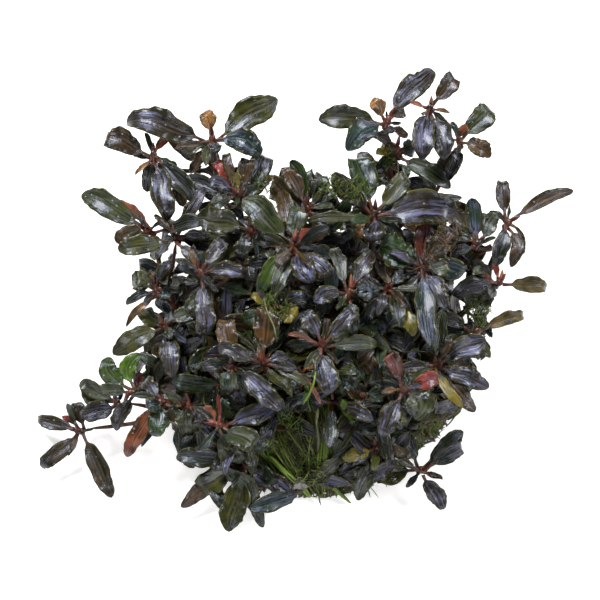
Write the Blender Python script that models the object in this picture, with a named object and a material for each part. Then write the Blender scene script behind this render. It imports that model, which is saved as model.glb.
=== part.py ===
"""A clump of bucephalandra, an aquarium plant: branching stems that rise from a mat of roots, and on
each of their crowns a rosette of narrow, wavy leaves.

Metres, +Z up. The origin is the middle of the root mat's flat underside. The plants are laid out
as a viewer above the front edge sees them: so many millimetres across from the middle of the view,
so many up it, and so high above the surface that the mat rests on.
"""

import math
from collections import namedtuple

import bmesh
import bpy
from mathutils import Matrix, Vector
from mathutils.bvhtree import BVHTree

MM = 0.001
UP = Vector((0, 0, 1))

# The viewpoint that the layout is written from, in millimetres.
VIEW_MIDDLE = Vector((-4, 22, 0))
VIEW_ELEVATION = math.radians(60)
VIEW_DISTANCE = 500
TO_VIEWER = Vector((0, -math.cos(VIEW_ELEVATION), math.sin(VIEW_ELEVATION)))
VIEW_RIGHT = Vector((1, 0, 0))
VIEW_UP = TO_VIEWER.cross(VIEW_RIGHT)
VIEWPOINT = VIEW_MIDDLE + TO_VIEWER * VIEW_DISTANCE

# The mat of matted roots.
MAT_HALF_WIDTH = 49
MAT_HALF_DEPTH = 46
MAT_HEIGHT = 25
MAT_FRONT_SLOPE = 0.35
MAT_SIDES = 30
MAT_RINGS = ((1.0, 0.0), (1.02, 0.1), (0.98, 0.3), (0.86, 0.56), (0.62, 0.84), (0.32, 0.97))
MAT_LUMP = 1.6

# Stems, crowns and leaves.
STEM_RADIUS = 1.25
BRANCH_RADIUS = 1.0
STEM_SIDES = 6
STEM_STATIONS = (0, 0.18, 0.26, 0.46, 0.54, 0.74, 0.82, 1)
FORK_RINGS = (1, 3, 5)
BRANCH_STATIONS = (0.17, 0.5, 1.0)
CROWN_RADIUS = 1.35
CROWN_LEVEL = 1.3
CROWN_SIDES = 5
CROWN_CLEARANCE = 7
SOCKETS_TRIED = 4
PETIOLE_RADIUS = 0.5
PETIOLE_SHARE = 0.16
BLADE_THICKNESS = 0.8
BLADE_FOLD = 0.12
BLADE_STATIONS = (0.04, 0.3, 0.6, 0.87)
GAP = 0.32
SISTER_GAP = 0.1
LEAST_OUTWARD = 0.25
SURFACE_GAP = 0.02

Leaf = namedtuple("Leaf", "across up width tone rise bow roll bend")
Shoot = namedtuple("Shoot", "crown leaves")
Stem = namedtuple("Stem", "foot crowns")
Placed = namedtuple("Placed", "tree crowns is_stem")


def leaf(across, up, width, tone, rise=2.0, bow=3.0, roll=0.0, bend=0.0):
    """A leaf by its tip in the view, its width, and how far the tip stands above the crown. Its
    middle bows up by bow and, in the view, bends to the left of its own direction by bend."""
    return Leaf(across, up, width, tone, rise, bow, roll, bend)


# Each crown's place, and its leaves from the front one to the hidden ones.
SHOOTS = {
    "01": Shoot((-48.7, 47.7, 41), [
        leaf(-67.3, 54.3, 8, "brown", bow=4),
        leaf(-43.7, 26.3, 7.5, "plum", rise=-2),
        leaf(-34.7, 32.3, 6.5, "dark", rise=-3),
        leaf(-44, 54, 3, "pink", rise=3, bow=1),
        leaf(-55.3, 41.7, 1.7, "orange", rise=-1, bow=1),
    ]),
    "02": Shoot((-29.3, 52.7, 45), [
        leaf(-59.3, 60.3, 9.5, "plum", bow=5),
        leaf(-31.7, 62.7, 5.5, "orange", rise=5),
        leaf(-7.7, 66.7, 10, "olive", bow=3),
        leaf(-12, 48.3, 8, "teal", bow=5),
        leaf(-41, 51.3, 3, "brown", bow=1),
        leaf(-36.7, 41.3, 3.5, "brown", rise=-4),
        leaf(-27.7, 49, 4.5, "dark", bow=1),
    ]),
    "03": Shoot((-20.3, 34.3, 40), [
        leaf(-16.7, 48.3, 5.5, "brown", rise=5),
        leaf(-21.3, 42.7, 3, "yellow", rise=4, bow=1),
        leaf(-25, 50, 3.5, "brown", rise=4),
        leaf(-31.3, 39.3, 4.5, "plum"),
        leaf(-30.7, 29.3, 4.5, "sage"),
        leaf(-29.3, 47.3, 4.5, "red"),
        leaf(-40, 40, 5.5, "dark", rise=-2),
        leaf(-10, 50, 7.5, "dark", rise=1),
    ]),
    "04": Shoot((-50, 22.7, 36), [
        leaf(-72.7, 35, 8, "sage", bow=5),
        leaf(-60.7, 33.3, 3.5, "pink", rise=4, bow=1),
        leaf(-60.7, 18.3, 6.5, "brown", bow=2, bend=-2),
        leaf(-56.7, 24, 1.5, "yellow", rise=3, bow=1),
    ]),
    "05": Shoot((-41.7, 20.7, 37), [
        leaf(-34.3, 33.3, 3.5, "plum", rise=3),
        leaf(-30.7, 38.3, 3.5, "plum", rise=1),
        leaf(-61, 16, 6.5, "olive", rise=-1),
        leaf(-30.3, 20.7, 3.5, "lavender", rise=-2),
    ]),
    "06": Shoot((-47.3, 2.7, 31), [
        leaf(-55, 7.3, 5.5, "olive", rise=3),
        leaf(-45.7, 10.7, 5, "brown", rise=2),
        leaf(-56.7, 6.3, 7.5, "sage", rise=-2),
        leaf(-58.3, -1.7, 3, "dark", rise=-3),
        leaf(-42.7, 12.7, 3.5, "plum", rise=3),
        leaf(-43.3, 1, 4.5, "teal", rise=2, bow=1),
        leaf(-58, -9, 2.3, "orange", rise=-4, bow=4),
    ]),
    "07": Shoot((-33, 8.3, 39), [
        leaf(-36.7, 16.7, 3, "orange", rise=3, bow=1),
        leaf(-17.3, 8.3, 5, "plum", rise=2),
        leaf(-40.7, 11.7, 3, "lavender", rise=2, bow=1),
        leaf(-24, 19.3, 5, "plum", rise=2),
        leaf(-18.3, 18.3, 4.5, "olive", rise=-2),
        leaf(-31, -12.7, 6.5, "plum", rise=-4),
    ]),
    "08": Shoot((-16, 22.7, 43), [
        leaf(-35, 26.7, 9, "olive", rise=3, bow=3),
        leaf(-12.7, 30, 5, "teal", rise=1),
        leaf(-9, 28, 4.5, "dark", rise=-3),
        leaf(-20, 12, 5.5, "dark", rise=-4),
    ]),
    "09": Shoot((-2, 17.3, 45), [
        leaf(-19, 33.3, 9, "sage", rise=3, bow=4),
        leaf(0, 31.7, 6.5, "sage", rise=4),
        leaf(4, 23.3, 4, "red", rise=4, bow=1),
        leaf(-8.3, 10.7, 3.5, "brown", rise=2, bow=1),
        leaf(-6.7, 36.7, 5.5, "brown", rise=-2),
        leaf(-8.3, 1.7, 5.5, "sage", rise=0),
        leaf(-14, 1.7, 5.5, "green", rise=-3),
        leaf(3.7, 5.3, 7.5, "lavender", rise=2),
        leaf(11, 6.7, 5.5, "plum", rise=0),
    ]),
    "10": Shoot((3.3, 29.3, 41), [
        leaf(0.7, 44, 8, "olive", rise=4),
        leaf(8.3, 42.7, 5.5, "plum", rise=3),
        leaf(-5.7, 45, 5.5, "brown", rise=1),
        leaf(13.3, 26, 6, "lavender", rise=2),
        leaf(-11.7, 35, 4, "sage", rise=-2),
    ]),
    "11": Shoot((24.3, 28, 46), [
        leaf(18.3, 50, 9, "green_dark", rise=5, bow=2),
        leaf(37.3, 41.7, 6.5, "olive", rise=4),
        leaf(2, 26, 3.5, "olive", rise=3),
        leaf(24.3, 18.7, 6.5, "plum", rise=2),
        leaf(53, 29.3, 11.5, "brown", rise=1, bow=4),
        leaf(10.7, 42.7, 2.3, "pink", rise=5, bow=1),
        leaf(15, 24.3, 6, "sage", rise=-2),
        leaf(18.3, 20.3, 4, "orange", rise=0),
        leaf(54, 34, 4.5, "dark", rise=-4),
    ]),
    "12": Shoot((43, 64, 53), [
        leaf(53.3, 74.7, 6.5, "brown", rise=3, bow=4),
        leaf(49, 46.7, 7.5, "plum", rise=-2),
        leaf(40.3, 46.7, 7.5, "plum", rise=-3),
        leaf(36.7, 65.7, 1.7, "pink", rise=2, bow=1),
        leaf(50, 62.3, 1.5, "orange", rise=0, bow=1),
    ]),
    "13": Shoot((29, 58.7, 50), [
        leaf(44.7, 76.7, 8, "plum", rise=3, bow=4),
        leaf(24, 66.7, 5, "orange", rise=4),
        leaf(6, 60, 8, "olive", rise=1, bow=4),
        leaf(15.7, 50, 8, "teal", rise=1, bow=5),
        leaf(36, 62.7, 3.5, "brown", rise=2, bow=1),
        leaf(36.3, 54, 3, "brown", rise=-2, bow=1),
        leaf(29.5, 54.5, 4.5, "dark", rise=-3, bow=1),
    ]),
    "14": Shoot((32.7, 49.3, 41), [
        leaf(37.7, 52.5, 3.5, "dark", rise=4, bow=1),
        leaf(24, 54.3, 3.5, "brown", rise=2),
        leaf(25, 49, 3, "yellow", rise=2, bow=1),
        leaf(39.3, 48.3, 4.5, "dark", rise=1),
        leaf(50.7, 37.3, 6.5, "sage", rise=-1),
    ]),
    "15": Shoot((52.7, 52.3, 46), [
        leaf(64.7, 64.3, 8, "sage", rise=4, bow=3),
        leaf(56, 58, 3.5, "pink", rise=4, bow=1),
        leaf(63.5, 47.3, 6, "brown", rise=-1, bow=4),
        leaf(49.3, 39.3, 4.5, "dark", rise=-4),
    ]),
    "16": Shoot((59.3, 18.3, 34), [
        leaf(49, 23.3, 6, "green_dark", rise=3),
        leaf(60.3, 30.3, 4.5, "sage", rise=4),
        leaf(65, 28.3, 5.5, "sage", rise=1),
        leaf(47, 14, 4.5, "dark", rise=-2),
    ]),
    "17": Shoot((69, 25.7, 38), [
        leaf(67.3, 40.7, 5, "brown", rise=4),
        leaf(91, 36.3, 4.5, "brown", rise=1, bow=4),
        leaf(65.7, 10.7, 5.5, "dark", rise=-4),
        leaf(69.7, 10.7, 4.5, "brown", rise=-4, bend=3),
        leaf(74.7, 15.3, 1.7, "brown", rise=-5, bend=1),
    ]),
    "18": Shoot((66.7, 5.7, 28), [
        leaf(84, 4, 5.5, "orange", rise=-3, bow=3),
        leaf(50.7, 1, 6, "lavender", rise=0),
        leaf(58.3, 2, 3.5, "dark", rise=-3, bow=1),
        leaf(59.3, 9.3, 2, "pink", rise=2, bow=1),
        leaf(65, 12.7, 2, "red", rise=3, bow=1),
    ]),
    "19": Shoot((58.3, -10.7, 23), [
        leaf(76, -4.7, 4.5, "orange", rise=1, bow=3),
        leaf(43.3, -5.3, 5, "plum", rise=2),
        leaf(61, -2, 4.5, "dark", rise=3),
        leaf(60, -20.3, 1.7, "brown", rise=-8, bow=1, bend=4),
        leaf(55.5, -18.5, 3.5, "brown", rise=-6, bow=1),
    ]),
    "20": Shoot((40.7, 10.7, 40), [
        leaf(50.7, 12.7, 7.5, "sage", rise=3, bow=1),
        leaf(48.3, -2.7, 6.5, "plum", rise=0),
        leaf(26, 17.7, 10.5, "green_dark", rise=3),
        leaf(43.3, -15.3, 6.5, "teal", rise=-5),
    ]),
    "21": Shoot((16, 2, 40), [
        leaf(25.3, 2.7, 6.5, "teal", rise=3, bow=1),
        leaf(4.3, -0.7, 5.5, "plum", rise=2),
        leaf(24, 16, 5.5, "plum", rise=1),
        leaf(11, 18.3, 4.5, "sage", rise=-2),
        leaf(18, -12, 4.5, "dark", rise=-4),
    ]),
    "22": Shoot((28.7, 3.3, 37), [
        leaf(38.7, -12, 5.5, "yellow", rise=2),
        leaf(26, -5, 4, "lavender", rise=0),
        leaf(33.5, -9, 4.5, "dark", rise=-5),
        leaf(36, 9, 4.5, "dark", rise=-3),
    ]),
    "23": Shoot((7.3, -15, 38), [
        leaf(10, -31.7, 7.5, "lavender", rise=-1, bow=2),
        leaf(0.7, -4.3, 6, "plum", rise=3),
        leaf(19, -2.7, 5, "plum", rise=2),
        leaf(-4, -11.7, 1.9, "pink", rise=2, bow=1, bend=-1),
        leaf(26.7, -14.3, 5, "sage", rise=-1, bow=1),
    ]),
    "24": Shoot((0, -24.3, 29), [
        leaf(6, -19.3, 3.5, "orange", rise=3, bow=1),
        leaf(-8.3, -22, 1.8, "red", rise=2, bow=1),
        leaf(-3.3, -29, 4.5, "sage", rise=1, bow=1),
        leaf(-14, -21.7, 6, "green_dark", rise=-3),
        leaf(7, -34.7, 1.6, "pink", rise=-2, bow=1),
        leaf(0.7, -35, 1.4, "green", rise=3, bow=4, bend=2),
    ]),
    "25": Shoot((34.3, -30, 32), [
        leaf(28.7, -16.7, 5, "red_dark", rise=5),
        leaf(47, -26, 5.5, "red", rise=4, bow=2),
        leaf(26.7, -46, 6.5, "plum", rise=-3, bow=2),
        leaf(39.7, -33, 1.6, "orange", rise=0, bow=1),
        leaf(27, -31, 2, "orange", rise=0, bow=1),
        leaf(37.5, -40, 10, "sage", rise=-7, bend=3),
    ]),
    "26": Shoot((45, -22, 29), [
        leaf(62.3, -13.3, 7.5, "plum", rise=5, bow=2),
        leaf(62.7, -29.3, 6.5, "plum", rise=0, bow=2),
        leaf(58.3, -37.3, 6.5, "brown", rise=-2),
        leaf(54.3, -35.7, 3.5, "yellow", rise=1, bow=2, bend=-1),
    ]),
    "27": Shoot((-12, -21.3, 35), [
        leaf(-9.7, -1, 8, "brown_light", rise=4),
        leaf(-28.3, -16, 5, "lavender", rise=1),
        leaf(-4, -19, 3.5, "plum", rise=1, bow=1),
    ]),
    "28": Shoot((-22.7, -22, 34), [
        leaf(-6, -36.7, 6.5, "lavender", rise=0, bow=2),
        leaf(-25, -5.3, 6.5, "brown_light", rise=4),
        leaf(-14, -32, 5, "teal", rise=-6),
        leaf(-25, -32, 4.5, "green_dark", rise=-3),
        leaf(-34, -23.5, 4, "lavender", rise=-1),
    ]),
    "29": Shoot((-8, -3.3, 38), [
        leaf(-1, -6, 6.5, "yellow", rise=2, bow=1),
        leaf(3.3, 1, 5.5, "lavender", rise=0),
        leaf(-7.7, -14.3, 1.4, "green", rise=5, bow=2),
        leaf(-17.3, 1.7, 2.5, "yellow", rise=1),
        leaf(-20, -8, 5, "green_dark", rise=-4),
    ]),
    "30": Shoot((-45, -8.3, 28), [
        leaf(-62.3, -18.3, 7, "olive", rise=-4, bow=4),
        leaf(-42.7, -26, 6.5, "lavender", rise=-2),
        leaf(-51.7, -18, 3.5, "olive", rise=-4),
        leaf(-43.3, -13, 3.5, "olive", rise=1, bow=1),
        leaf(-33, -4, 5.5, "sage", rise=2),
    ]),
    "31": Shoot((-55, -30.7, 21), [
        leaf(-63, -18.3, 6.5, "green", rise=3, bow=1, bend=4),
        leaf(-52.7, -18.3, 5.5, "green", rise=5, bow=1, bend=4),
        leaf(-67, -30.3, 4.5, "sage", rise=-1),
        leaf(-62.3, -44, 5, "plum", rise=-6),
        leaf(-53, -24, 3.5, "red_dark", rise=-1, bow=1),
    ]),
    "32": Shoot((-73.3, -43.3, 9), [
        leaf(-89, -39.5, 4.5, "dark", rise=-4, bow=1),
        leaf(-86.7, -57.3, 5.5, "dark", rise=-5),
        leaf(-62.3, -66, 6, "plum", rise=-5, bow=2),
        leaf(-79.3, -38.7, 2, "red", rise=3, bow=1),
    ]),
    "33": Shoot((-60, -34, 15), [
        leaf(-73.3, -38.5, 6.5, "plum", rise=0, bow=1),
        leaf(-72, -26, 5.5, "sage", rise=1, bow=1, bend=4),
    ]),
    "34": Shoot((-45, -33.3, 21), [
        leaf(-51.5, -36, 5, "teal", rise=3, bow=1),
        leaf(-48.3, -46.7, 6.5, "green_dark", rise=-2),
        leaf(-58, -53.3, 5.5, "red_dark", rise=-8),
        leaf(-53, -49, 2.3, "teal", rise=-6, bow=1),
        leaf(-55, -24.5, 5, "plum", rise=-3),
    ]),
    "35": Shoot((-36.7, -35, 23), [
        leaf(-23.3, -50.7, 6.5, "lavender", rise=-2, bow=2),
        leaf(-38.5, -45, 5.5, "olive", rise=-4),
        leaf(-43, -34, 3.5, "orange", rise=0, bow=1),
        leaf(-45, -41.5, 4.5, "brown", rise=-6),
    ]),
    "36": Shoot((-26.7, -41.7, 25), [
        leaf(-27.3, -31.3, 1.4, "red", rise=8, bow=0),
        leaf(-32, -35.3, 4, "pink", rise=3, bow=1),
        leaf(-6.7, -35, 6.5, "lavender", rise=0, bow=2),
        leaf(-13.3, -50, 7.5, "sage", rise=-3, bow=2),
        leaf(-20, -55, 7.5, "sage", rise=-6, bow=1),
    ]),
    "37": Shoot((-20, -55.3, 13), [
        leaf(-34.7, -64, 8, "olive", rise=-6),
        leaf(-42, -52, 6, "dark", rise=0),
        leaf(-39.7, -69, 5.5, "brown", rise=-9, bow=1),
        leaf(-23.7, -77.3, 8.5, "olive", rise=-9, bow=2),
        leaf(-12.7, -76.7, 4.5, "sage", rise=-10, bow=1),
        leaf(-0.7, -66, 6, "plum", rise=-8, bow=2),
    ]),
    "38": Shoot((40.3, -56.7, 9), [
        leaf(22.7, -58.3, 8, "olive", rise=-3, bow=2),
        leaf(54.3, -44, 5.5, "dark", rise=3),
        leaf(56, -49, 5.5, "dark", rise=-2),
        leaf(48.3, -70.3, 5.5, "plum", rise=-5, bow=2),
        leaf(34, -43.3, 4.5, "dark", rise=5),
        leaf(28.7, -50, 3, "brown", rise=4, bow=1),
    ]),
    "39": Shoot((20.7, -32.7, 24), [
        leaf(15, -39.5, 8, "green", rise=0, bow=1),
        leaf(11.7, -51.7, 5.5, "sage", rise=-10),
        leaf(13.3, -24, 7.5, "green_dark", rise=4),
        leaf(26, -38.5, 5.5, "sage", rise=-4, bow=1),
    ]),
    "40": Shoot((26, -49.3, 14), [
        leaf(14.3, -53.3, 4.5, "yellow", rise=0, bow=1),
        leaf(19, -66.7, 6, "sage", rise=-10, bow=1),
        leaf(12, -58, 4.5, "dark", rise=-6, bow=1),
    ]),
}

# Each stem's foot on the mat, across and away from its middle, and the crowns that it carries: the
# first stands on the stem itself, and the others on branches.
STEMS = {
    "01": Stem((-27, 34), ("02", "01", "03")),
    "02": Stem((-38, 4), ("04", "05", "06")),
    "03": Stem((-25, -4), ("07", "08")),
    "04": Stem((-4, 10), ("09", "10", "29")),
    "05": Stem((18, 12), ("11", "20", "21")),
    "06": Stem((26, 36), ("13", "12", "14", "15")),
    "07": Stem((44, 6), ("17", "16", "18")),
    "08": Stem((42, -16), ("19", "26")),
    "09": Stem((26, -24), ("25", "39")),
    "10": Stem((20, -36), ("40", "38")),
    "11": Stem((4, -16), ("23", "24", "22")),
    "12": Stem((-14, -18), ("27", "28")),
    "13": Stem((-40, -14), ("30", "31")),
    "14": Stem((-36, -28), ("34", "33", "32")),
    "15": Stem((-22, -36), ("36", "35", "37")),
}

# Bundles of green roots that run down the front of the mat: points across and up the view, and radii.
ROOT_BUNDLES = {
    "roots_left": (((-10, -52), (-4, -58), (1, -62.5), (3.3, -65.7)), (1.0, 1.5, 1.1, 0.5)),
    "roots_middle": (((8.3, -45), (7.6, -53), (8.5, -60), (16.7, -67.7)), (1.2, 1.9, 1.5, 0.4)),
}

TONES = {
    "plum": (0.10, 0.08, 0.12),
    "lavender": (0.22, 0.20, 0.34),
    "dark": (0.03, 0.03, 0.03),
    "brown": (0.11, 0.07, 0.04),
    "brown_light": (0.20, 0.11, 0.05),
    "olive": (0.09, 0.09, 0.03),
    "sage": (0.14, 0.18, 0.14),
    "teal": (0.10, 0.19, 0.19),
    "green": (0.10, 0.22, 0.03),
    "green_dark": (0.04, 0.09, 0.03),
    "yellow": (0.30, 0.26, 0.04),
    "orange": (0.34, 0.13, 0.04),
    "pink": (0.42, 0.14, 0.11),
    "red": (0.34, 0.06, 0.05),
    "red_dark": (0.14, 0.04, 0.03),
}


def spot(across, up, height):
    """The point at this height that the viewer sees so far across and up the view."""
    seen = VIEW_MIDDLE + VIEW_RIGHT * across + VIEW_UP * up
    ray = seen - VIEWPOINT
    return VIEWPOINT + ray * ((height - VIEWPOINT.z) / ray.z)


def bezier(points, share):
    """The point at this share of a cubic Bezier curve, and the curve's direction there."""
    a, b, c, d = points
    rest = 1 - share
    place = a * rest**3 + b * (3 * rest * rest * share) + c * (3 * rest * share * share) + d * share**3
    ahead = (b - a) * (rest * rest) + (c - b) * (2 * rest * share) + (d - c) * (share * share)
    return place, ahead.normalized()


def blade_share(share):
    """A blade's width at this share of its length, as a share of its greatest width."""
    return max(0.0, math.sin(math.pi * share**0.9)) ** 0.75


def tree_of(points, faces):
    """The points and faces as something that can be tested for crossings, with its bounds."""
    low = Vector([min(p[i] for p in points) for i in range(3)])
    high = Vector([max(p[i] for p in points) for i in range(3)])
    return BVHTree.FromPolygons(points, faces), low, high


def crosses(tree, others):
    """Whether the first shape crosses any of the others."""
    shape, low, high = tree
    for other, other_low, other_high in others:
        apart = any(low[i] > other_high[i] or high[i] < other_low[i] for i in range(3))
        if not apart and shape.overlap(other):
            return True
    return False


def tube_faces(count, sides):
    """The faces of a closed tube of this many rings."""
    faces = [tuple(reversed(range(sides)))]
    for ring in range(count - 1):
        for side in range(sides):
            a = ring * sides + side
            b = ring * sides + (side + 1) % sides
            faces.append((a, b, b + sides, a + sides))
    faces.append(tuple(range((count - 1) * sides, count * sides)))
    return faces


def aligned(section, before):
    """The section's corners, started from the one that leaves the least twist after the one before."""
    count = len(section)
    moved = (sum(section, Vector()) - sum(before, Vector())) / count

    def twist(shift):
        return sum((before[i] + moved - section[(i + shift) % count]).length for i in range(count))

    shift = min(range(count), key=twist)
    return [section[(i + shift) % count] for i in range(count)]


def halved(faces):
    """The faces with each four-cornered one cut into two triangles."""
    cut = []
    for face in faces:
        if len(face) == 4:
            a, b, c, d = face
            cut += [(a, b, c), (a, c, d)]
        else:
            cut.append(face)
    return cut


def meet(first, first_faces, second, second_faces):
    """Whether two sets of triangles cross anywhere but at the corners that they share."""
    pairs = first.overlap(second)
    return any(not set(first_faces[i]) & set(second_faces[j]) for i, j in pairs)


class Body:
    """A solid's points and faces, with what grows out of some of its faces."""

    def __init__(self, points, faces):
        self.points = list(points)
        self.faces = list(faces)
        self.rest = {}

    def growth(self, face, sections, tip):
        """The points and faces that a growth from a four-cornered face adds."""
        points = []
        faces = []
        ring = list(face)
        before = [self.points[i] for i in face]
        for section in sections:
            before = aligned(section, before)
            first = len(self.points) + len(points)
            after = list(range(first, first + 4))
            faces += [(ring[i], ring[(i + 1) % 4], after[(i + 1) % 4], after[i]) for i in range(4)]
            points += before
            ring = after
        if tip is None:
            faces.append(tuple(ring))
        else:
            end = len(self.points) + len(points)
            points.append(tip)
            faces += [(ring[i], ring[(i + 1) % 4], end) for i in range(4)]
        return points, faces

    def is_sound(self):
        """Whether the solid crosses itself nowhere."""
        faces = halved(self.faces)
        tree = BVHTree.FromPolygons(self.points, faces)
        return not meet(tree, faces, tree, faces)

    def takes(self, face, outward, sections, tip=None):
        """Whether a growth from this face leaves outwards and crosses nothing of this solid."""
        start = sum((self.points[i] for i in face), Vector()) / 4
        first = sum(sections[0], Vector()) / 4 - start
        if first.dot(outward) < LEAST_OUTWARD * first.length:
            return False
        points, faces = self.growth(face, sections, tip)
        new = halved(faces)
        new_tree = BVHTree.FromPolygons(self.points + points, new)
        if meet(new_tree, new, new_tree, new):
            return False
        if face not in self.rest:
            old = halved(f for f in self.faces if f != face)
            self.rest[face] = BVHTree.FromPolygons(self.points, old), old
        old_tree, old = self.rest[face]
        return not meet(new_tree, new, old_tree, old)

    def add(self, face, sections, tip=None):
        points, faces = self.growth(face, sections, tip)
        self.faces.remove(face)
        self.faces += faces
        self.points += points
        self.rest = {}


def frame_across(ahead, toward):
    """Two unit vectors square to a direction: its right, and its top, which leans toward the vector."""
    right = ahead.cross(toward)
    if right.length < 0.05:
        right = ahead.cross(VIEW_UP)
    right.normalize()
    return right, right.cross(ahead).normalized()


def ring_points(place, ahead, radius, sides, turn=0.0, toward=VIEW_UP):
    """A ring's points, anticlockwise as seen from ahead."""
    right, top = frame_across(ahead, toward)
    step = 2 * math.pi / sides
    return [
        place + (top * math.cos(turn + step * i) + right * math.sin(turn + step * i)) * radius
        for i in range(sides)
    ]


class Mat:
    """The root mat: a low, lumpy dome with a flat underside."""

    def __init__(self):
        self.points = []
        for ring, (reach, height) in enumerate(MAT_RINGS):
            for side in range(MAT_SIDES):
                self.points.append(self.ring_point(ring, side, reach, height))
        self.points.append(Vector((0, 0, MAT_HEIGHT)))
        underside, *sides = tube_faces(len(MAT_RINGS), MAT_SIDES)[:-1]
        self.faces = [underside]
        for a, b, c, d in sides:
            self.faces += [(a, b, c), (a, c, d)]
        last = (len(MAT_RINGS) - 1) * MAT_SIDES
        for side in range(MAT_SIDES):
            self.faces.append((last + side, last + (side + 1) % MAT_SIDES, len(self.points) - 1))
        self.tree = tree_of(self.points, self.faces)

    def ring_point(self, ring, side, reach, height):
        angle = 2 * math.pi * side / MAT_SIDES
        lump = MAT_LUMP * math.sin(3 * angle + ring) + MAT_LUMP * math.sin(7 * angle - 2 * ring)
        rise = 0 if ring == 0 else 0.4 * MAT_LUMP * math.sin(5 * angle + 2.2 * ring)
        across = (MAT_HALF_WIDTH * reach + lump) * math.cos(angle)
        away = (MAT_HALF_DEPTH * reach + lump) * math.sin(angle)
        slope = 1 - MAT_FRONT_SLOPE * max(0, -away / MAT_HALF_DEPTH)
        return Vector((across, away, MAT_HEIGHT * height * slope + rise))

    def top(self, across, away):
        """The point of the mat's top here, and its normal, or None beside the mat."""
        place, normal, _, _ = self.tree[0].ray_cast(Vector((across, away, 100)), -UP)
        return place, normal


def crown_axis(place):
    """A crown leans outwards from the clump's middle, and more the lower it stands."""
    lean = min(0.8, max(0.15, 1 - place.z / 42))
    outward = Vector((place.x, place.y + 6, 0))
    return (UP * (1 - lean) + outward.normalized() * lean).normalized()


class Crown:
    """A short column whose side faces each carry a leaf, topped by a bud."""

    def __init__(self, name, shoot, mat):
        self.name = name
        self.shoot = shoot
        self.levels = max(2, math.ceil(len(shoot.leaves) / 2))
        self.place = self.place_above(mat)
        self.axis = crown_axis(self.place)
        half = self.axis * (self.levels * CROWN_LEVEL / 2)
        self.foot = self.place - half
        self.points = []
        for level in range(self.levels + 1):
            radius = CROWN_RADIUS * (1 - 0.12 * level / self.levels)
            place = self.foot + self.axis * (level * CROWN_LEVEL)
            self.points += ring_points(place, self.axis, radius, CROWN_SIDES, 0.6 * level)
        self.points.append(self.place + half * 1.7)
        self.faces = tube_faces(self.levels + 1, CROWN_SIDES)[:-1]
        last = self.levels * CROWN_SIDES
        for side in range(CROWN_SIDES):
            self.faces.append((last + side, last + (side + 1) % CROWN_SIDES, len(self.points) - 1))
        self.sockets = list(range(1, 1 + self.levels * CROWN_SIDES))
        self.tree = tree_of(self.points, self.faces)
        self.body = Body(self.points, self.faces)
        self.grown = []

    def place_above(self, mat):
        """The crown's place, moved up the line of sight where the mat is too near."""
        across, up, height = self.shoot.crown
        while True:
            place = spot(across, up, height)
            top, _ = mat.top(place.x, place.y)
            if top is None or place.z > top.z + CROWN_CLEARANCE:
                return place
            height += 0.5

    def socket_corners(self, index):
        return [self.points[i] for i in self.faces[index]]

    def socket(self, index):
        """A side face's middle and its direction outwards."""
        corners = self.socket_corners(index)
        middle = sum(corners, Vector()) / len(corners)
        normal = (corners[2] - corners[0]).cross(corners[3] - corners[1]).normalized()
        return middle, normal

    def best_sockets(self, toward, share_up):
        """The free side faces that look most the way of a leaf, at about its share of the height."""

        def cost(index):
            middle, normal = self.socket(index)
            height = (middle - self.foot).dot(self.axis) / (self.levels * CROWN_LEVEL)
            return -normal.dot(toward) + 0.6 * abs(height - share_up)

        return sorted(self.sockets, key=cost)[:SOCKETS_TRIED]


def leaf_curve(start, outward, tip, grown):
    """The control points of a leaf's midline."""
    chord = tip - start
    length = chord.length
    ahead = chord.normalized()
    left = TO_VIEWER.cross(ahead).normalized()
    arch = UP * grown.bow * 1.33 + left * grown.bend * 1.33
    near = start + outward * min(2.5, 0.16 * length) + ahead * 0.16 * length + arch * 0.5
    far = start + ahead * 0.7 * length + arch
    return start, near, far, tip


def leaf_sections(curve, grown, margin=0.0):
    """The four-cornered sections of a leaf along its midline, then its tip. A margin swells it."""
    sections = []
    for station in BLADE_STATIONS:
        share = PETIOLE_SHARE + (1 - PETIOLE_SHARE) * station
        place, ahead = bezier(curve, share)
        right, top = frame_across(ahead, (TO_VIEWER + UP * 0.5).normalized())
        turn = Matrix.Rotation(math.radians(grown.roll), 3, ahead)
        right = turn @ right
        top = turn @ top
        half = max(PETIOLE_RADIUS, grown.width / 2 * blade_share(station)) + margin
        thick = max(PETIOLE_RADIUS * (1 - station), BLADE_THICKNESS / 2) + margin
        fold = top * (grown.width * BLADE_FOLD * blade_share(station))
        sections.append((place - right * half, place + top * thick - fold, place + right * half,
                         place - top * thick - fold))
    tip, ahead = bezier(curve, 1.0)
    return sections, tip + ahead * margin


def growth_tree(corners, sections, tip=None):
    """What grows from a face, for the crossing test, as far as its tip if it has one."""
    rings = [corners] if corners else []
    for section in sections:
        rings.append(aligned(section, rings[-1]) if rings else section)
    points = [corner for ring in rings for corner in ring]
    faces = tube_faces(len(rings), 4)[1:-1]
    if tip is not None:
        last = len(points) - 4
        points.append(tip)
        faces += [(last + i, last + (i + 1) % 4, last + 4) for i in range(4)]
    return tree_of(points, faces)


# The changes that a leaf may take to stay clear of the rest: how far its tip goes up or down along the
# line of sight, its roll in degrees, and its length. The least change is tried first.
RISES = (0, 1.5, -1.5, 3, -3, 4.5, -4.5, 6, -6, 8, -8, 10, -10, 13, -13, 16)
ROLLS = (0, 18, -18, 36, -36, 55, -55, 75, -75)
LENGTHS = (1.0, 0.9, 0.78, 0.62)
LEAST_HEIGHT = 0.9


def change_cost(change):
    rise, roll, length = change
    return abs(rise) / 3 + abs(roll) / 22 + (1 - length) * 22


CHANGES = sorted(((r, o, n) for r in RISES for o in ROLLS for n in LENGTHS), key=change_cost)


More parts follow.
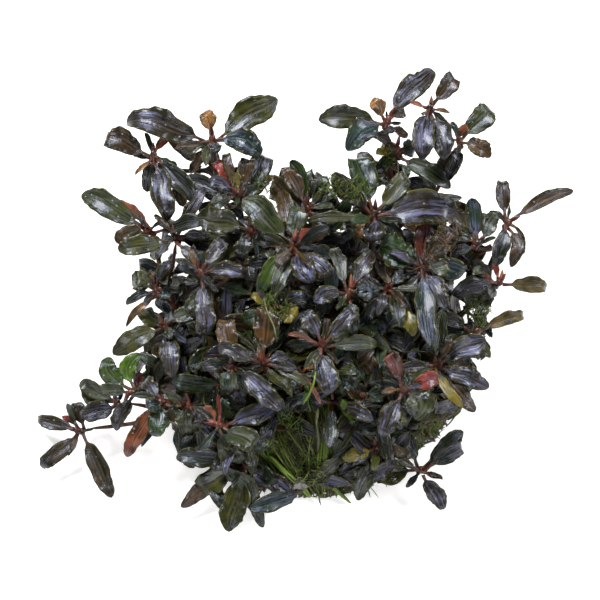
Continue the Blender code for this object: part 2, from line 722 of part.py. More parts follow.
def settle(crown, wanted, tip_at, socket, others):
    """The least change of a leaf that crosses nothing: its midline and itself, or None."""
    start, outward = crown.socket(socket)
    corners = crown.socket_corners(socket)
    for rise, roll, length in CHANGES:
        tip = start.lerp(tip_at(rise), length)
        grown = wanted._replace(roll=wanted.roll + roll)
        curve = leaf_curve(start, outward, tip, grown)
        sections, end = leaf_sections(curve, grown, GAP)
        if min(corner.z for section in sections for corner in section) < GAP:
            continue
        if crosses(growth_tree(corners, sections, end), others):
            continue
        face = crown.faces[socket]
        margins = (SISTER_GAP, 0)
        if all(crown.body.takes(face, outward, *leaf_sections(curve, grown, margin)) for margin in margins):
            return curve, grown
    return None


def place_leaf(crown, wanted, tip_at, placed):
    """Settles a leaf on the crown's best free face, and adds it to what is placed."""
    tip = tip_at(0)
    toward = (tip - crown.place).normalized()
    share_up = 0.5 + 0.5 * toward.dot(crown.axis)
    others = [thing.tree for thing in placed if crown.name not in thing.crowns or thing.is_stem]
    for socket in crown.best_sockets(toward, share_up):
        found = settle(crown, wanted, tip_at, socket, others)
        if found is None:
            continue
        crown.sockets.remove(socket)
        curve, grown = found
        sections, end = leaf_sections(curve, grown)
        crown.body.add(crown.faces[socket], sections, end)
        crown.grown.append((socket, curve, grown))
        placed.append(Placed(growth_tree(crown.socket_corners(socket), sections, end), {crown.name}, False))
        return True
    return False


def stem_rings(foot, normal, crown, radius):
    """The points of a stem's rings, from its foot to just under a crown, and its midline."""
    end = crown.foot - crown.axis * GAP
    reach = (end - foot).length * 0.4
    curve = (foot, foot + normal * reach, end - crown.axis * reach, end)
    rings = []
    for station in STEM_STATIONS:
        place, ahead = bezier(curve, station)
        rings.append(ring_points(place, ahead, radius * (1 - 0.12 * station), STEM_SIDES))
    return rings


def branch_sections(start, outward, along, crown, bulge):
    """The four-cornered sections of a branch, from a side of its stem to just under a crown."""
    end = crown.foot - crown.axis * GAP
    reach = (end - start).length * 0.38
    curve = (start, start + outward * reach + UP * bulge, end - crown.axis * reach, end)
    sections = []
    for station in BRANCH_STATIONS:
        place, ahead = bezier(curve, station)
        sections.append(ring_points(place, ahead, BRANCH_RADIUS, 4, math.pi / 4, along))
    return sections


FOOT_SHIFTS = (0, 2.5, -2.5, 5, -5)
BRANCH_BULGES = (0, 3, -3, 6, -6, 9)


class StemBody:
    """A stem that stands on the mat, with the branches that it carries."""

    def __init__(self, name, plan, crowns, mat, placed):
        self.name = name
        self.crowns = [crowns[key] for key in plan.crowns]
        self.trees = []
        self.set_foot(plan, mat, placed)
        used = set()
        for crown in self.crowns[1:]:
            self.add_branch(crown, placed, used)
        placed += [Placed(tree, set(plan.crowns), True) for tree in self.trees]

    def clear(self, tree, placed, crown):
        return not crosses(tree, [thing.tree for thing in placed if crown.name not in thing.crowns])

    def set_foot(self, plan, mat, placed):
        """Stands the stem on the mat, moved a little where it would cross something."""
        crown = self.crowns[0]
        shifts = sorted(((x, y) for x in FOOT_SHIFTS for y in FOOT_SHIFTS), key=lambda s: abs(s[0]) + abs(s[1]))
        for across, away in shifts:
            place, normal = mat.top(plan.foot[0] + across, plan.foot[1] + away)
            if place is None:
                continue
            for lift in range(8):
                foot = place + normal * (GAP + 0.12 * lift)
                rings = stem_rings(foot, normal, crown, STEM_RADIUS)
                points = [point for ring in rings for point in ring]
                tree = tree_of(points, tube_faces(len(STEM_STATIONS), STEM_SIDES))
                body = Body(points, tube_faces(len(STEM_STATIONS), STEM_SIDES))
                if body.is_sound() and not crosses(tree, [mat.tree]) and self.clear(tree, placed, crown):
                    self.points = points
                    self.body = body
                    self.trees.append(tree)
                    return
        raise ValueError(f"stem {self.name} has no room")

    def side_face(self, ring, side):
        """The corners of a side face, anticlockwise as seen from outside."""
        a = ring * STEM_SIDES + side
        b = ring * STEM_SIDES + (side + 1) % STEM_SIDES
        return a, b, b + STEM_SIDES, a + STEM_SIDES

    def add_branch(self, crown, placed, used):
        """Grows a branch from the side of the stem that suits it best and crosses nothing."""
        trials = []
        for ring in FORK_RINGS:
            for side in range(STEM_SIDES):
                corners = [self.points[i] for i in self.side_face(ring, side)]
                start = sum(corners, Vector()) / 4
                outward = (corners[2] - corners[0]).cross(corners[3] - corners[1]).normalized()
                toward = (crown.foot - start).normalized()
                for bulge in BRANCH_BULGES:
                    cost = -outward.dot(toward) + abs(bulge) / 12 + 0.08 * abs(ring - 3)
                    trials.append((cost, ring, side, bulge, start, outward, corners[3] - corners[0]))
        for _, ring, side, bulge, start, outward, along in sorted(trials, key=lambda t: t[:4]):
            near = {(ring, side), (ring, (side + 1) % STEM_SIDES), (ring, (side - 1) % STEM_SIDES)}
            if near & used:
                continue
            sections = branch_sections(start, outward, along, crown, bulge)
            face = self.side_face(ring, side)
            whole = growth_tree([self.points[i] for i in face], sections)
            if self.clear(whole, placed, crown) and self.body.takes(face, outward, sections):
                used.add((ring, side))
                self.body.add(face, sections)
                self.trees.append(whole)
                return
        raise ValueError(f"stem {self.name} has no room for its branch to crown {crown.name}")


def solid(name, points, faces, material):
    """An object from points and faces in millimetres."""
    bm = bmesh.new()
    verts = [bm.verts.new(point) for point in points]
    for face in halved(faces):
        bm.faces.new([verts[i] for i in face])
    bmesh.ops.scale(bm, vec=Vector((MM, MM, MM)), verts=bm.verts)
    bmesh.ops.recalc_face_normals(bm, faces=bm.faces)
    if bm.calc_volume(signed=True) < 0:
        bmesh.ops.reverse_faces(bm, faces=bm.faces)
    mesh = bpy.data.meshes.new(name)
    bm.to_mesh(mesh)
    bm.free()
    mesh.materials.append(material)
    mesh.shade_smooth()
    mesh.set_sharp_from_angle(angle=math.radians(50))
    made_object = bpy.data.objects.new(name, mesh)
    bpy.context.scene.collection.objects.link(made_object)
    return made_object


def material(name, colour, roughness=0.35):
    made = bpy.data.materials.new(name)
    made.use_nodes = True
    shader = made.node_tree.nodes["Principled BSDF"]
    shader.inputs["Base Color"].default_value = (*colour, 1)
    shader.inputs["Roughness"].default_value = roughness
    shader.inputs["Metallic"].default_value = 0
    made.diffuse_color = (*colour, 1)
    return made


def resting_spot(across, up, radius, clearance, mat):
    """The highest place on a line of sight where a ball of this radius meets the mat or the surface."""
    height = 2 * MAT_HEIGHT
    while height > radius + SURFACE_GAP:
        place = spot(across, up, height)
        if mat.tree[0].find_nearest(place)[3] < radius + clearance:
            return place
        height -= 0.2
    return spot(across, up, radius + SURFACE_GAP)


def root_bundle(points, radii, mat):
    """The points of a bundle of roots that lies on the mat's slope and on the surface before it."""
    for trial in range(12):
        clearance = GAP + 0.15 * trial
        places = [resting_spot(*point, radius, clearance, mat) for point, radius in zip(points, radii)]
        rings = []
        for i, (place, radius) in enumerate(zip(places, radii)):
            ahead = places[min(i + 1, len(places) - 1)] - places[max(i - 1, 0)]
            rings += ring_points(place, ahead.normalized(), radius, STEM_SIDES)
        faces = tube_faces(len(places), STEM_SIDES)
        if not crosses(tree_of(rings, faces), [mat.tree]):
            return rings, faces
    raise ValueError("a root bundle finds no place on the mat")


def view_of(place):
    """Where the viewer sees a point: across and up the view, in millimetres."""
    ray = place - VIEWPOINT
    share = VIEW_DISTANCE / -ray.dot(TO_VIEWER)
    seen = VIEWPOINT + ray * share - VIEW_MIDDLE
    return seen.dot(VIEW_RIGHT), seen.dot(VIEW_UP)


# Leaves on the far side and between the rest fill each crown up to this many, inside this part of
# the view, which the clump covers anyway: its middle and its half width and height.
FILL_TO = 5
FILL_MIDDLE = (3, -8)
FILL_HALF_SIZE = (52, 46)
FILL_LENGTH = 19
FILL_WIDTH = 5
FILL_TONES = ("dark", "olive", "green_dark", "plum", "brown", "sage")


def fill_crown(crown, number, placed):
    """Adds leaves on the crown's free sides, the far ones first."""
    free = sorted(crown.sockets, key=lambda socket: -crown.socket(socket)[1].y)
    for turn, socket in enumerate(free):
        if len(crown.grown) >= FILL_TO:
            return
        start, outward = crown.socket(socket)
        flat = Vector((outward.x, outward.y, 0)).normalized()
        tip = start + (flat + UP * (0.1 - 0.25 * ((turn + number) % 3))).normalized() * FILL_LENGTH
        across, up = view_of(tip)
        off = ((across - FILL_MIDDLE[0]) / FILL_HALF_SIZE[0]) ** 2 + ((up - FILL_MIDDLE[1]) / FILL_HALF_SIZE[1]) ** 2
        if off > 1:
            continue
        tone = FILL_TONES[(number * 5 + turn * 3) % len(FILL_TONES)]
        wanted = leaf(across, up, FILL_WIDTH, tone)
        place_leaf(crown, wanted, lambda rise, tip=tip: tip + UP * rise, placed)


def lay_out():
    """The mat, the stems, and the crowns with their leaves, all clear of each other."""
    mat = Mat()
    placed = [Placed(mat.tree, set(), False)]
    crowns = {name: Crown(name, shoot, mat) for name, shoot in SHOOTS.items()}
    placed += [Placed(crown.tree, {crown.name}, False) for crown in crowns.values()]
    bundles = {name: root_bundle(*plan, mat) for name, plan in ROOT_BUNDLES.items()}
    placed += [Placed(tree_of(*bundle), set(), False) for bundle in bundles.values()]
    stems = [StemBody(name, plan, crowns, mat, placed) for name, plan in STEMS.items()]
    left_out = []
    for crown in crowns.values():
        for wanted in crown.shoot.leaves:
            def tip_at(rise, crown=crown, wanted=wanted):
                height = max(LEAST_HEIGHT, crown.place.z + wanted.rise + rise)
                return spot(wanted.across, wanted.up, height)

            if not place_leaf(crown, wanted, tip_at, placed):
                left_out.append((crown.name, wanted))
    for number, crown in enumerate(crowns.values()):
        fill_crown(crown, number, placed)
    return mat, bundles, stems, crowns, left_out


def main():
    for startup_object in list(bpy.data.objects):
        bpy.data.objects.remove(startup_object)
    root_dark = material("root_dark", (0.035, 0.03, 0.02), 0.8)
    root_green = material("root_green", (0.08, 0.16, 0.02), 0.5)
    stem_red = material("stem_red", (0.22, 0.08, 0.05), 0.4)
    leaf_materials = {tone: material(f"leaf_{tone}", colour) for tone, colour in TONES.items()}

    mat, bundles, stems, crowns, left_out = lay_out()
    solid("root_mat", mat.points, mat.faces, root_dark)
    for name, (points, faces) in bundles.items():
        solid(name, points, faces, root_green)
    for stem in stems:
        solid(f"stem_{stem.name}", stem.body.points, stem.body.faces, stem_red)
    for crown in crowns.values():
        tone = crown.shoot.leaves[0].tone
        solid(f"leaves_{crown.name}", crown.body.points, crown.body.faces, leaf_materials[tone])
    return crowns, left_out


if __name__ == "__main__":
    main()
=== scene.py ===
"""Looks of a bucephalandra clump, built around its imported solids. Lengths are in millimetres until they
become a mesh. Places across and up the view are millimetres in the picture's plane, from its middle."""

import math
from collections import namedtuple

import bmesh
import bpy
import numpy as np
from mathutils import Matrix, Vector, noise
from mathutils.bvhtree import BVHTree


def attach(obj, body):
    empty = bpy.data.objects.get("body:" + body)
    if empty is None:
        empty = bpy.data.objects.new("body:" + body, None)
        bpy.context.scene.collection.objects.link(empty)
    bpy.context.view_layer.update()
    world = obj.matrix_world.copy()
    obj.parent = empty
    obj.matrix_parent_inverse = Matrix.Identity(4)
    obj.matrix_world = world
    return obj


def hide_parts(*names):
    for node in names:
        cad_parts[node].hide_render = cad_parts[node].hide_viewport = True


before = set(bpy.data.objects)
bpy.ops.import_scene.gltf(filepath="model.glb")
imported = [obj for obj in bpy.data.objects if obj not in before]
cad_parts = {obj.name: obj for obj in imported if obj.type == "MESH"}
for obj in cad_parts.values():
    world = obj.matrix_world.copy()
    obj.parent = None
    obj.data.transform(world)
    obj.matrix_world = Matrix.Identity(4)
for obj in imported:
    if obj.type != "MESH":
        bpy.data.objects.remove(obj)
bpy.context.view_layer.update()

MM = 0.001
UP = np.array((0.0, 0.0, 1.0))
VIEW_MIDDLE = np.array((-4.0, 22.0, 0.0))
VIEW_ELEVATION = math.radians(60)
VIEW_DISTANCE = 500.0
TO_VIEWER = np.array((0.0, -math.cos(VIEW_ELEVATION), math.sin(VIEW_ELEVATION)))
VIEW_RIGHT = np.array((1.0, 0.0, 0.0))
VIEW_UP = np.cross(TO_VIEWER, VIEW_RIGHT)
VIEWPOINT = VIEW_MIDDLE + TO_VIEWER * VIEW_DISTANCE

# Each crown's leaves: where the tip is seen across and up the view, and its tone.
LEAF_PLAN = {
    "01": "-67 54 brown, -44 26 plum, -35 32 dark, -44 54 pink, -55 42 orange",
    "02": "-59 60 plum, -32 63 orange, -8 67 olive, -12 48 teal, -41 51 brown, -37 41 brown, -28 49 dark",
    "03": "-17 48 brown, -21 43 yellow, -25 50 brown, -31 39 plum, -31 29 sage, -29 47 red, -40 40 dark, "
          "-10 50 dark",
    "04": "-73 35 sage, -61 33 pink, -61 18 brown, -57 24 yellow",
    "05": "-34 33 plum, -31 38 plum, -61 16 olive, -30 21 lavender",
    "06": "-55 7 olive, -46 11 brown, -57 6 sage, -58 -2 dark, -43 13 plum, -43 1 teal, -58 -9 orange",
    "07": "-37 17 orange, -17 8 plum, -41 12 lavender, -24 19 plum, -18 18 olive, -31 -13 plum",
    "08": "-35 27 olive, -13 30 teal, -9 28 dark, -20 12 dark",
    "09": "-19 33 sage, 0 32 sage, 4 23 red, -8 11 brown, -7 37 brown, -8 2 sage, -14 2 green_mid, "
          "4 5 lavender, 11 7 plum",
    "10": "1 44 olive, 8 43 plum, -6 45 brown, 13 26 lavender, -12 35 sage",
    "11": "18 50 green_dark, 37 42 olive, 2 26 olive, 24 19 plum, 53 29 plum, 11 43 pink, 15 24 sage, "
          "18 20 orange, 54 34 dark",
    "12": "53 75 brown, 49 47 plum, 40 47 plum, 37 66 pink, 50 62 orange",
    "13": "45 77 plum, 24 67 orange, 6 60 olive, 16 50 teal, 36 63 brown, 36 54 brown, 30 54 dark",
    "14": "38 52 dark, 24 54 brown, 25 49 yellow, 39 48 dark, 51 37 sage",
    "15": "65 64 sage, 56 58 pink, 64 47 brown, 49 39 dark",
    "16": "49 23 green_dark, 60 30 sage, 65 28 sage, 47 14 dark",
    "17": "67 41 brown, 91 36 brown, 66 11 dark, 70 11 brown, 75 15 brown",
    "18": "84 4 brown_olive, 51 1 lavender, 58 2 dark, 59 9 pink, 65 13 red",
    "19": "76 -5 brown_olive, 43 -5 plum, 61 -2 dark, 60 -20 brown, 56 -18 brown",
    "20": "51 13 sage, 48 -3 plum, 26 18 green_dark, 43 -15 teal",
    "21": "25 3 teal, 4 -1 plum, 24 16 plum, 11 18 sage, 18 -12 dark",
    "22": "39 -12 yellow, 26 -5 lavender, 34 -9 dark, 36 9 dark",
    "23": "10 -32 lavender, 1 -4 plum, 19 -3 plum, -4 -12 pink, 27 -14 sage",
    "24": "6 -19 orange, -8 -22 red, -3 -29 sage, -14 -22 green_dark, 7 -35 pink, 1 -35 green",
    "25": "29 -17 red_dark, 47 -26 red, 27 -46 plum, 40 -33 orange, 27 -31 orange, 38 -40 sage",
    "26": "62 -13 plum, 63 -29 plum, 58 -37 brown, 54 -36 yellow",
    "27": "-10 -1 brown_light, -28 -16 lavender, -4 -19 plum",
    "28": "-6 -37 lavender, -25 -5 brown_light, -14 -32 teal, -25 -32 green_dark, -34 -24 lavender",
    "29": "-1 -6 yellow, 3 1 lavender, -8 -14 green, -17 2 yellow, -20 -8 green_dark",
    "30": "-62 -18 olive, -43 -26 lavender, -52 -18 olive, -43 -13 olive, -33 -4 sage",
    "31": "-63 -18 green_mid, -53 -18 green, -67 -30 sage, -62 -44 plum, -53 -24 red_dark",
    "32": "-89 -40 brown_dark, -87 -57 brown_dark, -62 -66 brown_dark, -79 -39 red",
    "33": "-73 -38 plum, -72 -26 sage",
    "34": "-52 -36 teal, -48 -47 green_dark, -58 -53 red_brown, -53 -49 teal, -55 -24 plum",
    "35": "-23 -51 lavender, -38 -45 olive, -43 -34 orange, -45 -42 brown",
    "36": "-27 -31 red, -32 -35 pink, -7 -35 lavender, -13 -50 sage, -20 -55 sage",
    "37": "-35 -64 olive, -42 -52 dark, -40 -69 brown, -24 -77 olive, -13 -77 sage, -1 -66 plum",
    "38": "23 -58 olive, 54 -44 dark, 56 -49 dark, 48 -70 plum, 34 -43 dark, 29 -50 brown",
    "39": "15 -40 green, 12 -52 sage, 13 -24 green_dark, 26 -38 sage",
    "40": "14 -53 yellow, 19 -67 sage, 12 -58 dark",
}

# A tone's colour, the strength of its painted sheen from 0 to 1, and its share of pale speckles.
TONES = {
    "plum": ((0.014, 0.011, 0.006), 0.9, 0.7),
    "lavender": ((0.018, 0.016, 0.016), 1.0, 0.5),
    "dark": ((0.006, 0.010, 0.003), 0.7, 0.4),
    "brown_dark": ((0.020, 0.014, 0.004), 0.4, 0.6),
    "brown": ((0.034, 0.019, 0.004), 0.35, 0.5),
    "brown_light": ((0.052, 0.026, 0.005), 0.15, 0.3),
    "brown_olive": ((0.056, 0.039, 0.005), 0.1, 0.3),
    "olive": ((0.026, 0.028, 0.003), 0.3, 0.4),
    "sage": ((0.022, 0.029, 0.008), 0.6, 0.6),
    "teal": ((0.009, 0.020, 0.015), 0.9, 0.5),
    "green": ((0.050, 0.095, 0.007), 0.1, 0.2),
    "green_mid": ((0.027, 0.048, 0.006), 0.15, 0.3),
    "red_brown": ((0.105, 0.033, 0.014), 0.2, 0.5),
    "green_dark": ((0.009, 0.023, 0.003), 0.4, 0.3),
    "yellow": ((0.130, 0.104, 0.007), 0.05, 0.2),
    "orange": ((0.120, 0.055, 0.010), 0.1, 0.2),
    "pink": ((0.190, 0.060, 0.034), 0.2, 0.2),
    "red": ((0.160, 0.020, 0.012), 0.2, 0.2),
    "red_dark": ((0.065, 0.014, 0.008), 0.3, 0.3),
}
INNER_TONES = "dark olive green_dark plum brown dark sage teal".split()
LOW_TONES = "dark dark green_dark olive plum dark sage brown teal plum olive".split()
CROWN_TONE = (0.075, 0.022, 0.012)
SHOOT_TONE = (0.06, 0.022, 0.010)
STEM_TONES = ((0.048, 0.018, 0.008), (0.024, 0.018, 0.006), (0.070, 0.022, 0.011), (0.032, 0.013, 0.006))
MAT_TONE = (0.010, 0.009, 0.004)
ROOT_TONES = ((0.014, 0.010, 0.005), (0.030, 0.020, 0.009), (0.010, 0.010, 0.004), (0.040, 0.034, 0.012),
              (0.022, 0.034, 0.006), (0.055, 0.036, 0.014), (0.030, 0.060, 0.006))
ROOT_LIGHTER = 1.6
GREEN_TONE = (0.110, 0.170, 0.009)
FRONT_TONES = (GREEN_TONE, (0.065, 0.120, 0.007), (0.140, 0.160, 0.012), (0.030, 0.040, 0.006),
               (0.045, 0.030, 0.012))
MOSS_TONE = (0.066, 0.095, 0.009)
FIBRE_TONE = (0.085, 0.034, 0.017)
THREAD_TONE = (0.075, 0.140, 0.008)
PALE_THREAD_TONE = (0.120, 0.125, 0.070)
DRY_THREAD_TONE = (0.055, 0.045, 0.028)

# The leaf material's colours. A tint multiplies the leaf's own tone.
# Painted shade and painted light: a shaded and a lit copy of a leaf's tone, mixed in mottled patches.
SHADOW_TINT = (0.22, 0.29, 0.18)
LIT_TINT = (1.15, 1.1, 1.0)
OUTER_OLIVE = (0.034, 0.030, 0.007)
# Painted sheen: a pale grey and a blue-lavender reflection painted into the leaf's colour in streaks and
# patches.
PAINTED_SHEEN_GREY = (0.105, 0.100, 0.110)
PAINTED_SHEEN_BLUE = (0.105, 0.112, 0.235)
FLANK_TINT = (2.0, 1.9, 1.6)
FLANK_PALE = (0.09, 0.075, 0.06)
RIB_TINT = (0.4, 0.34, 0.3)
EDGE_PALE = (0.13, 0.12, 0.035)
BASE_RED = (0.070, 0.022, 0.010)
# Pale speckles: partly the leaf's own dots, partly painted highlights like glints on water drops.
PALE_DOT_AND_GLINT = (0.28, 0.29, 0.32)

# How finely a leaf is made: rings along it, points across its top and points across its underside.
LARGE_LEAF = (44, 11, 5)
SMALL_LEAF = (20, 9, 5)
STEM_LEAF = (18, 9, 5)
# Where a solid leaf's rings are along its blade, and where the blade starts along the midline.
CAD_STATIONS = (0.87, 0.6, 0.3, 0.04)
BLADE_START = 0.16
STALK_FADES = 0.12
CURL_FROM = 0.72
# A leaf takes the planned tone whose place its tip is seen near to.
TONE_REACH = 5
# Points below this height are pressed together above the floor.
LOWEST = 0.6

# Small leaves between a crown's own. The crowns that stand clear of the mound have fewer and shorter ones.
INNER_LEAVES = 8
OPEN_CROWNS = "01 02 03 04 12 13 14 15 16 17 18 19 31 32 33 37 38".split()
OPEN_INNER_LEAVES = 3
OPEN_SHORTER = 0.7
CROWN_RINGS = 7
CROWN_SIDES = 10
BUD_RADII = (1.2, 0.75, 0.7, 0.55, 0.35, 0.2)

STEM_NODES = [f"stem_{number:02d}" for number in range(1, 16)]
STEM_LEAVES = 12
STEM_LEAF_REACH = 0.75

# Low shoots that grow close over the mat, between the large ones, spread out like a sunflower's seeds.
LOW_SHOOTS = 84
LOW_LEAVES = 5
LOW_PIECES = 6
LOW_SPREAD = (51, 48)
GOLDEN_TURN = math.pi * (3 - math.sqrt(5))
# From here on, away from the viewer, their leaves are shorter and lie closer to the mat.
BACK_FROM = 8
BACK_CLOSER = 0.68
# From here on the viewer doesn't see them, so that they may reach past the mound's outline.
HIDDEN_FROM = 30
# The bare front of the mat, as an ellipse in the view: its middle, and its half width and height.
BARE_FRONT = (4, -46, 12, 13)
MOUND_OUTLINE = (
    (-55, 0), (-51, 17), (-45, 28), (-33, 37), (-17, 40), (0, 45), (17, 43), (33, 35), (50, 25), (62, 17),
    (66, 3), (66, -13), (60, -28), (49, -36), (38, -49), (33, -57), (20, -61), (12, -64), (-3, -64),
    (-12, -69), (-24, -72), (-40, -65), (-42, -53), (-47, -43), (-55, -33), (-60, -20), (-57, -7),
)

# Further small leaves: where the tip is seen, and its tone. Each starts at the crown or stem that suits it.
SMALL_TIPS = (
    "38 24 red_dark, 43 22 brown_light, 48 24 brown, 44 17 brown, 50 19 red_dark, 40 18 brown_dark, "
    "36 20 dark, -17 41 dark, -12 38 green_dark, -8 42 brown, -14 35 dark, 10 40 green_dark, 14 37 dark, "
    "18 33 plum, 21 38 dark, 12 33 olive, 17 41 brown_dark, 24 42 dark, 40 43 dark, 46 41 brown_dark, "
    "42 38 plum, 35 40 dark, 51 12 brown, 55 9 dark, 52 6 olive, 57 13 plum, 62 2 olive, 65 0 brown, "
    "-55 12 dark, -51 10 plum, -54 -4 olive, -51 -7 dark, -53 43 brown_dark, -51 36 dark, -50 40 plum, "
    "-41 35 dark, -39 31 brown, -74 -27 sage, -75 -33 brown_dark"
)
SMALL_REACH = (7, 18)
USUAL_REACH = 11
# Broader ones: where the tip is seen, about where the leaf starts, its breadth and its tone.
BROAD_TIPS = (
    "47 27 40 12 8 teal, 52 25 41 11 8 brown_dark, 42 28 40 12 7 red_dark, 51 33 60 23 7 brown, "
    "57 34 60 23 6 teal, 49 30 60 23 7 brown_dark, 56 8 41 11 8 teal, 54 12 62 22 6 plum, 13 37 2 21 8 dark, "
    "17 33 2 22 8 green_dark, 10 42 24 30 7 brown_dark, -6 44 0 31 8 dark, -11 40 -2 27 8 brown, "
    "-3 46 2 30 7 green_dark, 19 49 27 36 6 brown_dark, 29 47 36 36 7 dark, 26 52 37 48 6 olive, "
    "35 46 27 35 7 green_dark, 42 50 47 62 6 brown, -44 56 -34 46 6 brown, -31 53 -28 40 6 dark"
)

ROOT_FIBRES = 1300
FIBRE_SPREAD = (48, 45)
FIBRE_LIFT = 0.45
BUNDLES = ("roots_left", "roots_middle")
BUNDLE_STRANDS = 26
BUNDLE_SIDES = 6
BUNDLE_STEPS = 16
# Loose roots at the front: where they start and end in the view, how far both spread, and their number.
FRONT_ROOTS = (((8, -36), (11, -64.5), 4, 24), ((-8, -44), (3, -63.5), 4, 20), ((0, -44), (5, -62), 6, 12),
               ((-16, -50), (-7, -61), 4, 8), ((17, -44), (19, -62), 4, 8))
FRINGE_ROOTS = 90
FRONT_LIMIT = -60.5
DRAPED_STEPS = 12
# Moss and fibre tufts: middle in the view, radius, number of sprigs, their longest length, and tone.
TUFTS = (
    (-8, -1, 4.5, 150, 3.4, MOSS_TONE), (11, 38, 4, 150, 3.4, MOSS_TONE), (19, 37, 4, 150, 3.4, MOSS_TONE),
    (-12, 38, 3, 80, 3.4, MOSS_TONE), (29, 47, 3, 80, 3.4, MOSS_TONE), (43, -43, 3.5, 90, 3.4, MOSS_TONE),
    (60, -4, 5, 160, 3.4, MOSS_TONE), (-7, -47, 3.5, 110, 3.4, MOSS_TONE), (3, -56, 5, 160, 3.4, MOSS_TONE),
    (-3, -40, 4, 110, 3.4, MOSS_TONE), (50, 21, 5, 60, 7.5, FIBRE_TONE), (42, 14, 3, 26, 6, FIBRE_TONE),
)
SPRIG_RADII = (0.16, 0.14, 0.12, 0.10, 0.08)
# Threads that lie over the leaves: places in the view, radius and tone.
THREADS = (
    (((5.3, -23.7), (4.6, -28), (2.6, -32.5), (0.7, -35)), 0.32, THREAD_TONE),
    (((2.6, -32.5), (2.9, -35), (3.7, -37)), 0.26, THREAD_TONE),
    (((-12, 0.7), (-11, -4), (-8.5, -9), (-7.7, -14.3)), 0.22, PALE_THREAD_TONE),
    (((6, -35.7), (5.4, -41), (6.3, -46), (6, -51)), 0.55, DRY_THREAD_TONE),
)
THREAD_STEPS = 15

# Seeds of the random draws. Each leaf has a seed of its own, counted from these.
STEM_SEED = 5
FIBRE_SEED = 7
LOW_SEED = 11
FRONT_SEED = 21
MOSS_SEED = 31
INNER_LEAF_SEED = 9000
LOW_LEAF_SEED = 20000
STEM_LEAF_SEED = 40000
SMALL_LEAF_SEED = 50000

# The studio, in metres and watts: each light's place, size, power and colour.
FLOOR_HALF = 3.0
FLOOR_HEIGHT = -0.0004
LIGHT_TARGET = (0, 0, 0.02)
LIGHTS = {
    "key_light": ((-0.35, 0.45, 0.95), 0.4, 24, (1.0, 0.99, 0.97)),
    "side_light": ((0.8, 0.1, 0.7), 0.3, 10, (1.0, 0.99, 0.97)),
    "front_light": ((-0.2, -0.9, 0.7), 0.4, 6, (1.0, 0.98, 0.95)),
}


def unit(vector):
    return vector / max(1e-9, np.linalg.norm(vector))


LEAF_TOP = unit(TO_VIEWER + UP * 0.5)


def spot(across, up, height):
    """The point at this height that the viewer sees so far across and up the view."""
    ray = VIEW_MIDDLE + VIEW_RIGHT * across + VIEW_UP * up - VIEWPOINT
    return VIEWPOINT + ray * ((height - VIEWPOINT[2]) / ray[2])


def aim_at(across, up):
    """The direction in which the viewer looks at a place in the view."""
    return unit(spot(across, up, 0.0) - VIEWPOINT)


def at_depth(across, up, depth):
    """The point seen at a place in the view that lies this far along the direction to the viewer."""
    aim = aim_at(across, up)
    return VIEWPOINT + aim * ((depth - VIEWPOINT.dot(TO_VIEWER)) / aim.dot(TO_VIEWER))


def view_of(place):
    """Where the viewer sees a point: across and up the view."""
    ray = place - VIEWPOINT
    seen = VIEWPOINT + ray * (VIEW_DISTANCE / -ray.dot(TO_VIEWER)) - VIEW_MIDDLE
    return seen.dot(VIEW_RIGHT), seen.dot(VIEW_UP)


def bezier(points, shares):
    """The places and unit directions along a cubic Bezier curve."""
    a, b, c, d = points
    s = np.asarray(shares)[:, None]
    r = 1 - s
    places = a * r**3 + b * (3 * r * r * s) + c * (3 * r * s * s) + d * s**3
    ahead = (b - a) * (r * r) + (c - b) * (2 * r * s) + (d - c) * (s * s)
    return places, ahead / np.linalg.norm(ahead, axis=1)[:, None]


def blade_share(share):
    """A blade's width at each share of its length, as a share of its greatest width."""
    inside = np.clip(share, 0, 1)
    return np.maximum(0, np.sin(math.pi * inside**0.9)) ** 0.75


def strap_share(share):
    """The same for a blade with straighter sides and a blunter tip."""
    inside = np.clip(share, 0, 1)
    return 0.98 * np.maximum(0, np.sin(math.pi * inside**1.02)) ** 0.55


def frames(ahead, toward, roll):
    """Unit vectors square to each direction, to its right and to its top, turned by the roll."""
    right = np.cross(ahead, toward)
    right /= np.maximum(1e-6, np.linalg.norm(right, axis=1))[:, None]
    top = np.cross(right, ahead)
    c, s = np.cos(roll), np.sin(roll)
    return right * c + top * -s, top * c + right * s


# A leaf's midline, its greatest width, its roll and tone, its seed, and the direction its top turns to.
Leaf = namedtuple("Leaf", "curve width roll tone seed upward", defaults=(LEAF_TOP,))


def arched(start, along, arch, tip, early=1.0):
    """A leaf's midline, raised by the arch between its start and its tip."""
    return start, start + along * 0.3 + arch * early, start + along * 0.7 + arch, tip


def pick(choices, rng):
    return choices[int(rng.integers(len(choices)))]


def read_plan(text):
    """The rows of a plan, each of some numbers and a tone."""
    rows = [row.split() for row in text.split(", ")]
    return [(*map(float, row[:-1]), row[-1]) for row in rows]


def cad_mesh(node):
    """A node's mesh in millimetres, with the doubled points of its edges joined."""
    bm = bmesh.new()
    bm.from_mesh(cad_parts[node].data)
    bmesh.ops.scale(bm, vec=(1 / MM,) * 3, verts=bm.verts)
    bmesh.ops.remove_doubles(bm, verts=bm.verts, dist=0.002)
    return bm


def cad_points(node):
    """The places and normals of a node's corners."""
    bm = cad_mesh(node)
    places = np.array([vert.co for vert in bm.verts])
    normals = np.array([vert.normal for vert in bm.verts])
    bm.free()
    return places, normals


def add_object(name, data):
    made = bpy.data.objects.new(name, data)
    bpy.context.scene.collection.objects.link(made)
    return made


def rings_behind(tip):
    """The rings of four corners that follow a leaf's tip back to its crown."""
    seen = {tip}
    ring = {edge.other_vert(tip) for edge in tip.link_edges}
    rings = []
    while len(ring) == 4 and len(rings) <= len(CAD_STATIONS):
        rings.append([np.array(vert.co) for vert in ring])
        seen |= ring
        ring = {edge.other_vert(vert) for vert in ring for edge in vert.link_edges} - seen
    return rings


